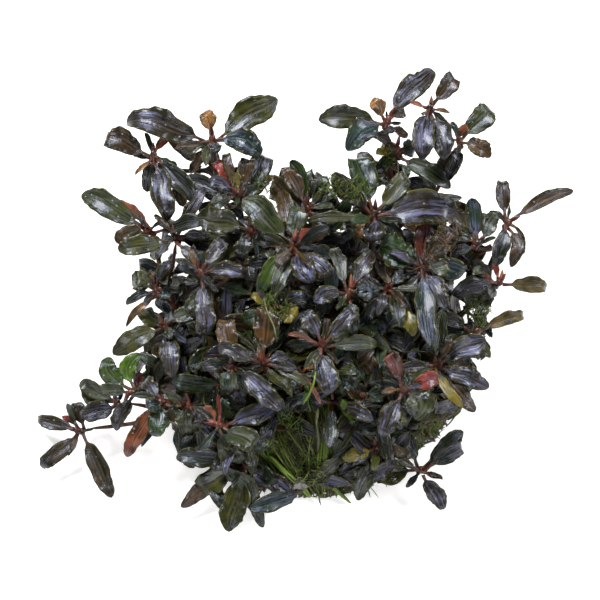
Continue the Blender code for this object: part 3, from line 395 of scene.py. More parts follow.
def side_of(ring, before):
    """Half the vector from a ring's left corner to its right one, and the place between them."""
    best = None
    for a, b, c, d in ((0, 1, 2, 3), (0, 2, 1, 3), (0, 3, 1, 2)):
        off = np.linalg.norm((ring[a] + ring[b]) / 2 - (ring[c] + ring[d]) / 2)
        for i, j in ((a, b), (c, d)):
            half = (ring[j] - ring[i]) / 2
            score = abs(half.dot(before)) if before is not None else np.linalg.norm(half)
            if best is None or score - off * 0.5 > best[0]:
                best = (score - off * 0.5, half, (ring[i] + ring[j]) / 2)
    return best[1], best[2]


def read_leaf(tip, rings):
    """The midline, width and roll that a solid leaf was built from."""
    places = []
    halves = []
    before = None
    for ring in rings[:4]:
        half, middle = side_of(ring, before)
        if before is not None and half.dot(before) < 0:
            half = -half
        before = unit(half)
        places.append(middle)
        halves.append(half)
    start = sum(rings[4]) / 4
    shares = np.array([BLADE_START + (1 - BLADE_START) * station for station in CAD_STATIONS])
    near = 3 * (1 - shares) ** 2 * shares
    far = 3 * (1 - shares) * shares**2
    fixed = np.outer((1 - shares) ** 3, start) + np.outer(shares**3, tip)
    solved = np.linalg.lstsq(np.stack([near, far], 1), np.array(places) - fixed, rcond=None)[0]
    curve = (start, solved[0], solved[1], np.array(tip))
    _, ahead = bezier(curve, shares)
    right, top = frames(ahead, LEAF_TOP, 0.0)
    widest = halves[1]
    roll = math.atan2(-widest.dot(top[1]), widest.dot(right[1]))
    if abs(roll) > math.pi / 2:
        roll -= math.copysign(math.pi, roll)
    share = blade_share(np.array([0.6, 0.3]))
    width = np.mean([2 * np.linalg.norm(h) / s for h, s in zip((halves[1], halves[2]), share)])
    return curve, width, roll


def leaves_of(key):
    """Every leaf of a crown, read from its solid, each with the tone that the plan gives it."""
    bm = cad_mesh(f"leaves_{key}")
    found = []
    for vert in bm.verts:
        rings = rings_behind(vert) if len(vert.link_edges) == 4 else []
        if len(rings) == len(CAD_STATIONS) + 1:
            found.append((np.array(vert.co), rings))
    bm.free()
    plan = read_plan(LEAF_PLAN[key])
    found.sort(key=lambda item: tuple(np.round(item[0], 2)))
    leaves = []
    for number, (tip, rings) in enumerate(found):
        curve, width, roll = read_leaf(tip, rings)
        across, up = view_of(tip)
        off, tone = min((math.hypot(across - a, up - u), t) for a, u, t in plan)
        if off > TONE_REACH:
            tone = INNER_TONES[(int(key) * 3 + number) % len(INNER_TONES)]
        leaves.append(Leaf(curve, width, roll, tone, int(key) * 50 + number))
    return leaves


class Surface:
    """Points, faces and the values that the materials read, gathered for one mesh."""

    def __init__(self):
        self.points = []
        self.faces = []
        self.values = {"tone": [], "along": [], "across": [], "sheen": [], "speckle": [], "shade": []}
        self.count = 0

    def add(self, points, faces, **values):
        low = np.minimum(0, points[:, 2] / LOWEST - 1)
        points = points.copy()
        points[:, 2] = np.where(low < 0, LOWEST * np.exp(low), points[:, 2])
        self.points.append(points)
        self.faces.append(np.asarray(faces) + self.count)
        for name, store in self.values.items():
            value = np.asarray(values.get(name, 0.0), dtype=float)
            shape = (len(points), 3) if name == "tone" else (len(points),)
            store.append(np.broadcast_to(value, shape))
        self.count += len(points)

    def close_ends(self, count, sides):
        """Closes both ends of the tube that was added last."""
        start = self.count - count
        for ring in (np.arange(sides)[::-1], np.arange(sides) + count - sides):
            self.faces.append((ring + start)[None, :])

    def piece(self, name, material):
        points = np.concatenate(self.points) * MM
        mesh = bpy.data.meshes.new(name)
        faces = [tuple(face) for block in self.faces for face in block.tolist()]
        mesh.from_pydata(points.tolist(), [], faces)
        mesh.validate()
        for attribute, store in self.values.items():
            values = np.concatenate(store)
            kind, field = "FLOAT", "value"
            if attribute == "tone":
                kind, field = "FLOAT_COLOR", "color"
                values = np.concatenate([values, np.ones((len(values), 1))], 1)
            made = mesh.attributes.new(attribute, kind, "POINT")
            made.data.foreach_set(field, values.astype(np.float32).ravel())
        mesh.shade_smooth()
        mesh.materials.append(material)
        return add_object(name, mesh)


def ring_faces(rings, sides):
    """The faces of a closed tube, its ends left open."""
    base = np.arange(rings - 1)[:, None] * sides
    side = np.arange(sides)[None, :]
    a = base + side
    b = base + (side + 1) % sides
    return np.stack([a, b, b + sides, a + sides], -1).reshape(-1, 4)


def tube(surface, path, radii, sides, **values):
    """A tube along a path, drawn in at both ends."""
    path = np.asarray(path, dtype=float)
    ahead = np.gradient(path, axis=0)
    ahead /= np.maximum(1e-6, np.linalg.norm(ahead, axis=1))[:, None]
    side = np.cross(ahead[0], UP if abs(ahead[0][2]) < 0.9 else VIEW_RIGHT)
    angles = np.arange(sides) * 2 * math.pi / sides
    radii = np.broadcast_to(np.asarray(radii, dtype=float), (len(path),)).copy()
    radii[0] *= 0.3
    radii[-1] *= 0.3
    rings = []
    for place, forward, radius in zip(path, ahead, radii):
        side = unit(side - forward * side.dot(forward))
        other = np.cross(forward, side)
        rings.append(place + (np.outer(np.cos(angles), side) + np.outer(np.sin(angles), other)) * radius)
    points = np.concatenate(rings)
    along = np.repeat(np.linspace(0, 1, len(path)), sides)
    faces = ring_faces(len(path), sides)
    surface.add(points, faces, along=along, **values)
    surface.close_ends(len(points), sides)


def add_leaf(surface, leaf, size=LARGE_LEAF):
    """A thin blade with a grooved midrib and waved margins, on a round stalk."""
    rings, top_points, under_points = size
    rng = np.random.default_rng(leaf.seed)
    share = np.linspace(0, 1, rings) ** 0.92
    places, ahead = bezier(leaf.curve, share)
    blade = np.clip((share - BLADE_START) / (1 - BLADE_START), 0, 1)
    twist = rng.uniform(-0.55, 0.55) * (blade - 0.4)
    right, top = frames(ahead, leaf.upward, (leaf.roll + twist)[:, None])
    width = strap_share(blade)
    stalk = np.clip(1 - blade / STALK_FADES, 0, 1)
    stalk = stalk * stalk * (3 - 2 * stalk)
    v = np.concatenate([np.linspace(-1, 1, top_points), np.linspace(1, -1, under_points + 2)[1:-1]])
    is_top = np.arange(len(v)) < top_points

    # Each margin has broad waves and fine ripples of its own.
    wave = np.zeros((rings, len(v)))
    half = np.zeros((rings, len(v)))
    height = leaf.width * rng.uniform(0.05, 0.12)
    calm = np.sin(math.pi * np.clip(blade, 0, 1)) ** 0.6
    for sign in (-1, 1):
        broad = np.sin(2 * math.pi * (rng.uniform(1.2, 2.6) * blade + rng.random()))
        fine = np.sin(2 * math.pi * (rng.uniform(4, 7) * blade + rng.random() + 0.3 * np.sin(7 * blade)))
        fine *= 0.35 + 0.65 * np.sin(math.pi * (rng.uniform(1, 2.5) * blade + rng.random())) ** 2
        uneven = 1 + 0.06 * broad + 0.045 * fine * np.clip(blade * 3, 0, 1)
        half += (leaf.width / 2 * width * uneven)[:, None] * (v * sign > 0)
        rise = (broad * height + fine * height * 0.45) * calm
        wave += rise[:, None] * np.maximum(0, v * sign)[None, :] ** 3

    # The blade's height over its midline: dished, grooved and thicker along the rib, and curled at the tip.
    fold = (leaf.width * rng.uniform(0.05, 0.14)) * width
    dish = -fold[:, None] * (1 - np.abs(v)[None, :] ** 1.5)
    groove = -0.22 * np.exp(-((v / 0.13) ** 2))[None, :] * is_top[None, :] * width[:, None] ** 0.3
    thick = 0.16 + 0.34 * np.exp(-((v / 0.2) ** 2)) * (1 - 0.5 * blade[:, None])
    under = np.where(is_top, 0, -1)[None, :] * thick
    curled = np.maximum(0, blade - CURL_FROM)[:, None] / (1 - CURL_FROM)
    curl = -leaf.width * rng.uniform(-0.1, 0.5) * curled
    lift = dish + wave + groove + under + curl * curled
    side = v[None, :] * half

    # Towards its start the blade turns into a round stalk.
    angle = np.where(is_top, (1 - (v + 1) / 2) * math.pi, -(1 - (v + 1) / 2) * math.pi)
    radius = np.maximum(0.36, 0.62 - 0.12 * share / BLADE_START)
    round_side = np.cos(angle)[None, :] * radius[:, None]
    round_lift = np.sin(angle)[None, :] * radius[:, None] * 0.85
    side = side * (1 - stalk[:, None]) + round_side * stalk[:, None]
    lift = lift * (1 - stalk[:, None]) + round_lift * stalk[:, None]
    sway = leaf.width * 0.05 * np.sin(2 * math.pi * (blade * rng.uniform(0.6, 1.1) + rng.random())) * calm
    points = (places[:, None, :] + right[:, None, :] * (side + sway[:, None])[:, :, None]
              + top[:, None, :] * lift[:, :, None])
    points = points.reshape(-1, 3)

    count = len(v)
    colour, sheen, speckle = TONES[leaf.tone]
    colour = np.array(colour) * rng.uniform(0.75, 1.3)
    surface.add(points, ring_faces(rings, count), tone=colour, along=np.repeat(blade, count),
                across=np.tile(v, rings), sheen=sheen, speckle=speckle * rng.uniform(0.4, 1.4),
                shade=rng.random())
    surface.close_ends(len(points), count)


def inner_leaves(key, leaves, rng):
    """Small leaves between a crown's large ones, shorter than they are."""
    middle = np.array([leaf.curve[0] for leaf in leaves]).mean(0)
    usual_length = float(np.median([np.linalg.norm(leaf.curve[3] - leaf.curve[0]) for leaf in leaves]))
    is_open = key in OPEN_CROWNS
    turns = np.sort(rng.uniform(0, 2 * math.pi, OPEN_INNER_LEAVES if is_open else INNER_LEAVES))
    made = []
    for number, turn in enumerate(turns):
        rise = rng.uniform(-0.7, 0.8)
        out = unit(np.array((math.cos(turn), math.sin(turn), rise)))
        length = usual_length * rng.uniform(0.45, 0.88) * (OPEN_SHORTER if is_open else 1.0)
        start = middle + out * 0.6 + UP * rng.uniform(-1.5, 1.2)
        tip = start + out * length
        if tip[2] < 1.5:
            continue
        bow = rng.uniform(0.05, 0.22)
        swing = np.cross(out, UP) * length * rng.uniform(-0.15, 0.15)
        curve = arched(start, out * length, UP * length * bow + swing, tip, early=0.5)
        tone = pick(INNER_TONES, rng)
        made.append(Leaf(curve, length * rng.uniform(0.22, 0.34), rng.uniform(-0.7, 0.7), tone,
                         INNER_LEAF_SEED + int(key) * 20 + number))
    return made


def add_crown(surface, leaves, buds, rng):
    """The short column that a crown's leaves stand on, with young rolled leaves at its top."""
    starts = np.array([leaf.curve[0] for leaf in leaves])
    middle = starts.mean(0)
    spread = np.linalg.svd(starts - middle)[2][0] if len(starts) > 3 else UP
    axis = unit(np.array((middle[0] * 0.01, (middle[1] + 6) * 0.01, 1.0)))
    if abs(spread.dot(axis)) > 0.7:
        axis = spread * math.copysign(1, spread.dot(axis))
    heights = (starts - middle).dot(axis)
    low = min(heights.min(), -1.2) - 0.9
    high = max(heights.max(), 1.2) + 0.9
    path = [middle + axis * height for height in np.linspace(low, high, CROWN_RINGS)]
    radii = 1.1 + 0.18 * np.sin(np.arange(CROWN_RINGS) * 2.1)
    radii[0] = 3.0
    radii[-1] = 1.6
    tube(surface, path, radii, CROWN_SIDES, tone=CROWN_TONE, across=0.5, sheen=0.2)
    for number in range(buds):
        lean = np.array((rng.uniform(-0.5, 0.5), rng.uniform(-0.5, 0.5), 0)) + axis
        reach = np.linspace(0, rng.uniform(2.5, 5), len(BUD_RADII))
        bud = [path[-1] + unit(lean) * step - axis * 0.5 for step in reach]
        tube(surface, bud, BUD_RADII, 7, tone=TONES["pink" if number else "red_dark"][0], across=0.4,
             sheen=0.4)


class Shader:
    """A material under construction, with short ways to add and join its nodes."""

    def __init__(self, name):
        self.material = bpy.data.materials.new(name)
        self.material.use_nodes = True
        self.tree = self.material.node_tree
        self.shader = self.tree.nodes["Principled BSDF"]
        self.place = self.node("TexCoord").outputs["Object"]

    def feed(self, target, value):
        """Joins a source to an input, or sets the input to a number or colour."""
        if isinstance(value, bpy.types.NodeSocket):
            self.tree.links.new(value, target)
        elif isinstance(value, tuple) and len(value) == 3:
            target.default_value = (*value, 1)
        else:
            target.default_value = value

    def node(self, kind, **inputs):
        node = self.tree.nodes.new(f"ShaderNode{kind}")
        for name, value in inputs.items():
            self.feed(node.inputs[name], value)
        return node

    def attribute(self, name, output="Fac"):
        node = self.node("Attribute")
        node.attribute_name = name
        return node.outputs[output]

    def math(self, operation, *values):
        node = self.node("Math")
        node.operation = operation
        for target, value in zip(node.inputs, values):
            self.feed(target, value)
        return node.outputs[0]

    def times(self, a, b):
        return self.math("MULTIPLY", a, b)

    def plus(self, a, b):
        return self.math("ADD", a, b)

    def lanes(self, x, y, z):
        return self.node("CombineXYZ", X=x, Y=y, Z=z).outputs[0]

    def noise(self, scale, detail=3.0, roughness=0.55, place=None):
        place = self.place if place is None else place
        node = self.node("TexNoise", Scale=scale, Detail=detail, Roughness=roughness, Vector=place)
        return node.outputs["Fac"]

    def spots(self, scale):
        node = self.node("TexVoronoi", Scale=scale, Vector=self.place)
        return node.outputs["Distance"], node.outputs["Color"]

    def ramp(self, value, low, high, to_low=0.0, to_high=1.0):
        node = self.node("MapRange")
        node.interpolation_type = "SMOOTHSTEP"
        for target, number in zip(node.inputs, (value, low, high, to_low, to_high)):
            self.feed(target, number)
        return node.outputs[0]

    def mix(self, share, a, b, blend="MIX"):
        node = self.node("Mix")
        node.data_type = "RGBA"
        node.blend_type = blend
        inputs = {socket.identifier: socket for socket in node.inputs}
        for name, value in (("Factor_Float", share), ("A_Color", a), ("B_Color", b)):
            self.feed(inputs[name], value)
        return next(socket for socket in node.outputs if socket.identifier == "Result_Color")

    def tint(self, tone, colour):
        return self.mix(1.0, tone, colour, "MULTIPLY")

    def bump(self, height, depth_mm):
        return self.node("Bump", Strength=1.0, Distance=depth_mm * MM, Height=height).outputs["Normal"]

    def finish(self, colour, normal, roughness, **plain):
        for name, value in {"Base_Color": colour, "Normal": normal, "Roughness": roughness, **plain}.items():
            self.feed(self.shader.inputs[name.replace("_", " ")], value)
        return self.material


def leaf_material():
    """A leathery blade with lengthwise streaks of painted pale sheen, patches of painted light and shade, a
    dark midrib and a thin light margin.
    """
    s = Shader("leaf_looks")
    tone = s.attribute("tone", "Color")
    along = s.attribute("along")
    side = s.attribute("across")
    across = s.math("ABSOLUTE", side)
    sheen = s.attribute("sheen")
    speckle = s.attribute("speckle")
    shade = s.attribute("shade")
    streak = s.noise(1.0, 4, 0.6, s.lanes(s.times(side, 5.0), s.times(along, 2.2), s.times(shade, 90.0)))

    # Painted light and shade: lit and shaded copies of the tone in mottled patches, more olive towards the
    # margins, with painted sheen on it in streaks and patches.
    painted_light_and_shade = s.ramp(s.noise(260, 4), 0.35, 0.68)
    colour = s.mix(painted_light_and_shade, s.tint(tone, SHADOW_TINT), s.tint(tone, LIT_TINT))
    outer = s.times(s.ramp(across, 0.45, 0.95), s.times(sheen, 0.5))
    colour = s.mix(outer, colour, OUTER_OLIVE)
    painted_sheen_mask = s.ramp(s.plus(s.times(streak, 0.6), s.times(s.noise(120, 3), 0.4)), 0.49, 0.64)
    painted_sheen_mask = s.times(s.times(painted_sheen_mask, s.ramp(across, 0.5, 0.95, 1.0, 0.0)), s.times(sheen, 0.7))
    colour = s.mix(painted_sheen_mask, colour, s.mix(s.ramp(sheen, 0.55, 1.0), PAINTED_SHEEN_GREY, PAINTED_SHEEN_BLUE))

    # The rib with its pale flanks, the margin, and the reddish base.
    flank = s.times(s.ramp(across, 0.08, 0.14), s.ramp(across, 0.14, 0.32, 1.0, 0.0))
    colour = s.mix(s.times(flank, 0.35), colour, s.mix(0.4, s.tint(tone, FLANK_TINT), FLANK_PALE))
    rib = s.ramp(across, 0.035, 0.10, 1.0, 0.0)
    colour = s.mix(s.times(rib, 0.8), colour, s.tint(tone, RIB_TINT))
    colour = s.mix(s.times(s.ramp(across, 0.91, 0.98), 0.7), colour, EDGE_PALE)
    base = s.times(s.ramp(along, 0.0, 0.08, 1.0, 0.0), s.ramp(shade, 0.25, 0.75, 0.45, 0.9))
    colour = s.mix(base, colour, BASE_RED)

    # Pale speckles, partly the leaf's own dots and partly painted highlights like glints on drops, then gloss
    # and relief.
    distance, kind = s.spots(620)
    dots_and_glints = s.times(s.ramp(distance, 0.14, 0.22, 1.0, 0.0), s.math("LESS_THAN", kind, s.times(speckle, 0.5)))
    colour = s.mix(s.times(dots_and_glints, 0.5), colour, PALE_DOT_AND_GLINT)
    roughness = s.plus(s.times(streak, 0.3), 0.13)
    height = s.plus(s.times(streak, 1.6), s.times(s.noise(520, 3), 1.1))
    normal = s.bump(s.plus(height, s.times(dots_and_glints, 0.6)), 0.18)
    return s.finish(colour, normal, roughness, Specular_Tint=(0.72, 0.78, 1.0, 1.0), Specular_IOR_Level=0.34,
                    Coat_Weight=0.09, Coat_Roughness=0.1)


def plain_material(name, dark, light, scale, depth, roughness, **plain):
    """A mottled surface whose tone attribute tints it, for stems and roots."""
    s = Shader(name)
    patch = s.ramp(s.noise(scale, 5, 0.6), 0.35, 0.65)
    colour = s.mix(0.75, s.mix(patch, dark, light), s.attribute("tone", "Color"))
    speck = s.ramp(s.noise(scale * 5, 2), 0.62, 0.72)
    colour = s.mix(s.times(speck, 0.4), colour, tuple(min(1.0, channel * 2.2) for channel in light))
    normal = s.bump(s.noise(scale * 3, 4), depth)
    rough = s.plus(s.times(s.noise(scale * 2), 0.3), roughness - 0.15)
    return s.finish(colour, normal, rough, **plain)


def keep(piece, slot, *nodes):
    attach(piece, "root")
    if nodes:
        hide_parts(*nodes)
    return piece


def smooth_copy(node, name, material, levels, lump, lump_scale, tone):
    """A rounded, slightly lumpy copy of a solid."""
    bm = cad_mesh(node)
    bmesh.ops.join_triangles(bm, faces=bm.faces, angle_face_threshold=0.9, angle_shape_threshold=1.2)
    mesh = bpy.data.meshes.new(name)
    bm.to_mesh(mesh)
    bm.free()
    made = add_object(name, mesh)
    modifier = made.modifiers.new("round", "SUBSURF")
    modifier.levels = modifier.render_levels = levels
    bpy.context.view_layer.update()
    rounded = bpy.data.meshes.new_from_object(made.evaluated_get(bpy.context.evaluated_depsgraph_get()))
    made.modifiers.clear()
    made.data = rounded
    normals = [v.normal.copy() for v in rounded.vertices]
    for vert, normal in zip(rounded.vertices, normals):
        moved = vert.co + normal * (noise.noise(vert.co * lump_scale) * lump)
        moved.z = max(0.0, moved.z)
        vert.co = moved * MM
    attribute = rounded.attributes.new("tone", "FLOAT_COLOR", "POINT")
    values = np.tile(np.array((*tone, 1.0), dtype=np.float32), len(rounded.vertices))
    attribute.data.foreach_set("color", values)
    rounded.materials.clear()
    rounded.materials.append(material)
    rounded.shade_smooth()
    return made


def creep(start, ahead, steps, step, wander, rng):
    """A path that creeps over the mat's surface, and ends where it meets the floor."""
    path = []
    place = np.array(start)
    for _ in range(steps):
        near, normal, _, _ = mat_tree.find_nearest(Vector(place))
        near, normal = np.array(near), np.array(normal)
        place = near + normal * (FIBRE_LIFT * (0.6 + 0.8 * rng.random()))
        place[2] = max(place[2], 0.35)
        path.append(place.copy())
        if place[2] < 1.0 and len(path) > 4:
            break
        ahead = unit(ahead + rng.normal(0, wander, 3))
        ahead = unit(ahead - normal * ahead.dot(normal))
        place = place + ahead * step
    return path


def in_outline(across, up):
    """Whether a place in the view lies inside the mound's outline."""
    inside = False
    for (x0, y0), (x1, y1) in zip(MOUND_OUTLINE, MOUND_OUTLINE[1:] + MOUND_OUTLINE[:1]):
        if (y0 > up) != (y1 > up) and across < x0 + (x1 - x0) * (up - y0) / (y1 - y0):
            inside = not inside
    return inside


def low_shoot(surface, number, rng):
    """A short stalk on the mat, with a ring of leaves that lie close over it."""
    reach = math.sqrt((number + 0.5) / LOW_SHOOTS) * 1.02
    turn = number * GOLDEN_TURN
    above = Vector((LOW_SPREAD[0] * reach * math.cos(turn), LOW_SPREAD[1] * reach * math.sin(turn), 40))
    seat, normal, _, _ = mat_tree.ray_cast(above, -Vector(UP))
    if seat is None:
        seat, normal, _, _ = mat_tree.find_nearest(Vector((above.x, above.y, 6)))
    seat, normal = np.array(seat), np.array(normal)
    across, up = view_of(seat)
    middle_x, middle_y, half_x, half_y = BARE_FRONT
    if ((across - middle_x) / half_x) ** 2 + ((up - middle_y) / half_y) ** 2 < 1:
        return
    side = unit(np.cross(normal, (0.3, 0.9, 0.1)))
    other = np.cross(normal, side)
    stalk = [seat + normal * (s * 5 - 0.8) + side * 0.4 * math.sin(s * 3) for s in np.linspace(0, 1, 5)]
    tube(surface, stalk, 0.9, 7, tone=SHOOT_TONE, across=0.4)
    close = BACK_CLOSER if seat[1] > BACK_FROM else 1.0
    for leaf_number in range(LOW_LEAVES):
        angle = 2 * math.pi * (leaf_number + rng.uniform(-0.2, 0.2)) / LOW_LEAVES + number
        rise = rng.uniform(-0.05, 0.75) * close
        out = unit(side * math.cos(angle) + other * math.sin(angle) + normal * rise)
        length = rng.uniform(12, 19) * close
        start = seat + normal * rng.uniform(2.2, 4.2)
        tip = start + out * length
        if tip[2] < 1.0:
            tip[2] = 1.0 + 0.3 * rng.random()
        if seat[1] < HIDDEN_FROM and not in_outline(*view_of(tip)):
            continue
        curve = arched(start, out * length, normal * length * 0.1, tip)
        tone = pick(LOW_TONES, rng)
        leaf = Leaf(curve, rng.uniform(4.2, 6.4), rng.uniform(-0.7, 0.7), tone,
                    LOW_LEAF_SEED + number * 8 + leaf_number, upward=normal)
        add_leaf(surface, leaf, SMALL_LEAF)


def stem_leaves(surface, node, rng):
    """Small leaves along the lower part of a stem, where the mound hides it from the viewer."""
    points, normals = cad_points(node)
    low, high = points[:, 2].min(), points[:, 2].max()
    chosen = np.flatnonzero(points[:, 2] < low + (high - low) * STEM_LEAF_REACH)
    for number in range(STEM_LEAVES):
        corner = pick(chosen, rng)
        start = points[corner]
        out = unit(normals[corner] + UP * rng.uniform(-0.1, 0.7) + rng.normal(0, 0.25, 3))
        length = rng.uniform(8, 14)
        tip = start + out * length
        if tip[2] < 1 or not in_outline(*view_of(tip)):
            continue
        curve = arched(start, out * length, UP * length * 0.15, tip)
        tone = pick(LOW_TONES, rng)
        leaf = Leaf(curve, rng.uniform(3.2, 5), rng.uniform(-0.6, 0.6), tone, STEM_LEAF_SEED + number,
                    upward=UP)
        add_leaf(surface, leaf, STEM_LEAF)


def small_leaves(surface, crown_starts, rng):
    """Leaves that end at the chosen places of the view, level with where they start."""
    starts = list(crown_starts)
    for node in STEM_NODES:
        starts += list(cad_points(node)[0])
    seen = np.array([view_of(start) for start in starts])
    planned = []
    for across, up, tone in read_plan(SMALL_TIPS):
        reach = np.hypot(seen[:, 0] - across, seen[:, 1] - up)
        fits = (reach > SMALL_REACH[0]) & (reach < SMALL_REACH[1])
        if fits.any():
            off = np.where(fits, np.abs(reach - USUAL_REACH), np.inf)
            planned.append((across, up, starts[int(np.argmin(off))], rng.uniform(4, 6), tone))
    for across, up, from_across, from_up, width, tone in read_plan(BROAD_TIPS):
        reach = np.hypot(seen[:, 0] - from_across, seen[:, 1] - from_up)
        planned.append((across, up, starts[int(np.argmin(reach))], width, tone))
    for number, (across, up, start, width, tone) in enumerate(planned):
        tip = at_depth(across, up, start.dot(TO_VIEWER) + rng.uniform(-2, 2))
        tip[2] = max(1.0, tip[2])
        along = tip - start
        arch = UP * np.linalg.norm(along) * rng.uniform(0.05, 0.2)
        leaf = Leaf(arched(start, along, arch, tip), width, rng.uniform(-0.6, 0.6), tone,
                    SMALL_LEAF_SEED + number)
        add_leaf(surface, leaf, SMALL_LEAF)


def root_fibres(rng):
    """Fine roots that creep over the mat, half of them from its rim, and more of them at the front."""
    surface = Surface()
    for number in range(ROOT_FIBRES):
        turn = rng.uniform(0, 2 * math.pi) if number % 3 else rng.normal(-math.pi / 2, 0.5)
        on_rim = number % 2
        if on_rim:
            reach, height = 1.0, rng.uniform(2.5, 13)
        else:
            reach = rng.uniform(0.15, 0.95)
            height = 22 * (1 - reach**2)
        start = np.array((FIBRE_SPREAD[0] * reach * math.cos(turn), FIBRE_SPREAD[1] * reach * math.sin(turn),
                          height))
        out = unit(np.array((math.cos(turn), math.sin(turn), -0.4)) + rng.normal(0, 0.35 + 0.6 * on_rim, 3))
        path = creep(start, out, int(rng.integers(8, 15)), rng.uniform(1.4, 2.4), 0.28, rng)
        tone = np.array(pick(ROOT_TONES, rng)) * rng.uniform(0.7, 1.3)
        tube(surface, path, rng.uniform(0.18, 0.46), 4, tone=tone * ROOT_LIGHTER)
    return surface


def bundle_strands(node):
    """The strands of a bundle of green roots, twisted along its solid."""
    points = cad_points(node)[0]
    rings = points[np.argsort(-points[:, 1])].reshape(-1, BUNDLE_SIDES, 3)
    spine = rings.mean(1)
    widths = np.linalg.norm(rings - spine[:, None, :], axis=2).mean(1)
    share = np.linspace(0, len(spine) - 1, BUNDLE_STEPS)
    path = np.stack([np.interp(share, np.arange(len(spine)), spine[:, i]) for i in range(3)], 1)
    wide = np.interp(share, np.arange(len(spine)), widths)
    surface = Surface()
    rng = np.random.default_rng(len(node))
    for _ in range(BUNDLE_STRANDS):
        angle = rng.uniform(0, 2 * math.pi)
        reach = math.sqrt(rng.random())
        turns = angle + rng.uniform(-1.5, 1.5) * np.linspace(0, 1, BUNDLE_STEPS)
        off = np.outer(np.cos(turns), VIEW_RIGHT) + np.outer(np.sin(turns), TO_VIEWER)
        strand = path + off * (wide * reach)[:, None]
        strand[:, 2] = np.maximum(strand[:, 2], 0.5)
        tone = np.array(GREEN_TONE) * rng.uniform(0.2, 1.5)
        tube(surface, strand, rng.uniform(0.16, 0.3), 6, tone=tone)
    return surface


def draped(start, end, bow, lift):
    """A path over the mat that runs from start to end as seen in the view."""
    path = []
    for s in np.linspace(0, 1, DRAPED_STEPS):
        across = start[0] + (end[0] - start[0]) * s + bow * math.sin(math.pi * s)
        up = start[1] + (end[1] - start[1]) * s
        floor_spot = spot(across, up, 0.6)
        hit = mat_tree.ray_cast(Vector(VIEWPOINT), Vector(unit(floor_spot - VIEWPOINT)))[0]
        path.append((floor_spot if hit is None else np.array(hit)) + TO_VIEWER * lift)
    path = np.array(path)
    path[1:-1] = (path[:-2] + path[1:-1] * 2 + path[2:]) / 4
    return path


def front_roots(rng):
    """Loose green and brown roots down the front of the mat, and a fringe of short ones along its edge."""
    surface = Surface()
    for start, end, spread, count in FRONT_ROOTS:
        for _ in range(count):
            first = (start[0] + rng.normal(0, spread / 2), start[1] + rng.uniform(-3, 4))
            last = (end[0] + rng.normal(0, spread / 2), end[1] + rng.uniform(-1.5, 3))
            path = draped(first, last, rng.normal(0, 1.2), rng.uniform(0.3, 1.6))
            tone = np.array(pick(FRONT_TONES, rng)) * rng.uniform(0.4, 1.4)
            tube(surface, path, rng.uniform(0.16, 0.38), 5, tone=tone)
    for _ in range(FRINGE_ROOTS):
        turn = rng.normal(-math.pi / 2, 0.42)
        out = np.array((math.cos(turn), math.sin(turn), 0.0))
        lean = rng.normal(0, 2.0)
        rim, _, _, _ = mat_tree.ray_cast(Vector(out * 80 + UP * rng.uniform(1.5, 7)), Vector(-out))
        if rim is None:
            continue
        rim = np.array(rim)
        end = rim + out * rng.uniform(2.0, 6.0) + np.array((lean, 0, -rim[2] * rng.uniform(0.5, 0.95)))
        end[1] = max(end[1], FRONT_LIMIT)
        path = [rim - out * 1.5 + (end - rim) * s + UP * (1.2 * math.sin(math.pi * s))
                for s in np.linspace(0, 1, 7)]
        tone = np.array(pick(FRONT_TONES, rng)) * rng.uniform(0.3, 1.1)
        tube(surface, path, rng.uniform(0.13, 0.3), 5, tone=tone)
    return surface


def seen_at(across, up):
    """The place and normal of the first surface that the viewer meets there, moss and threads apart."""
    aim = Vector(aim_at(across, up))
    hit, place, normal, _, _, _ = bpy.context.scene.ray_cast(depsgraph, Vector(VIEWPOINT * MM), aim)
    return (np.array(place) / MM, np.array(normal)) if hit else (None, None)


def moss_tufts(rng):
    """Tufts of fine sprigs on whatever the viewer sees at their places."""
    surface = Surface()
    for across, up, radius, count, longest, tone in TUFTS:
        seat, _ = seen_at(across, up)
        for _ in range(count):
            turn = rng.uniform(0, 2 * math.pi)
            reach = radius * math.sqrt(rng.random())
            place, normal = seen_at(across + reach * math.cos(turn), up + reach * math.sin(turn))
            if place is None or seat is None or np.linalg.norm(place - seat) > radius * 2.5:
                continue
            ahead = unit(normal * 0.4 + TO_VIEWER * 0.2 + rng.normal(0, 0.6, 3))
            bend = rng.normal(0, 0.5, 3)
            length = rng.uniform(0.35, 1) * longest
            sprig = [place + ahead * length * s + bend * s * s for s in np.linspace(0, 1, len(SPRIG_RADII))]
            tube(surface, sprig, SPRIG_RADII, 4, tone=np.array(tone) * rng.uniform(0.35, 1.9))
    return surface


def laid(marks, lift):
    """A path that lies over whatever the viewer sees along the marks, taut between the high places."""
    marks = np.array(marks, dtype=float)
    share = np.linspace(0, len(marks) - 1, THREAD_STEPS)
    steps = list(zip(*(np.interp(share, np.arange(len(marks)), marks[:, i]) for i in (0, 1))))
    depths = []
    for across, up in steps:
        place, _ = seen_at(across, up)
        depths.append((spot(across, up, 1.0) if place is None else place).dot(TO_VIEWER))
    path = []
    for i, (across, up) in enumerate(steps):
        over = [depths[a] + (depths[b] - depths[a]) * (i - a) / max(1, b - a)
                for a in range(i + 1) for b in range(i, THREAD_STEPS)]
        path.append(at_depth(across, up, max(over) + lift))
    path = np.array(path)
    path[1:-1] = (path[:-2] + path[1:-1] + path[2:]) / 3
    return path


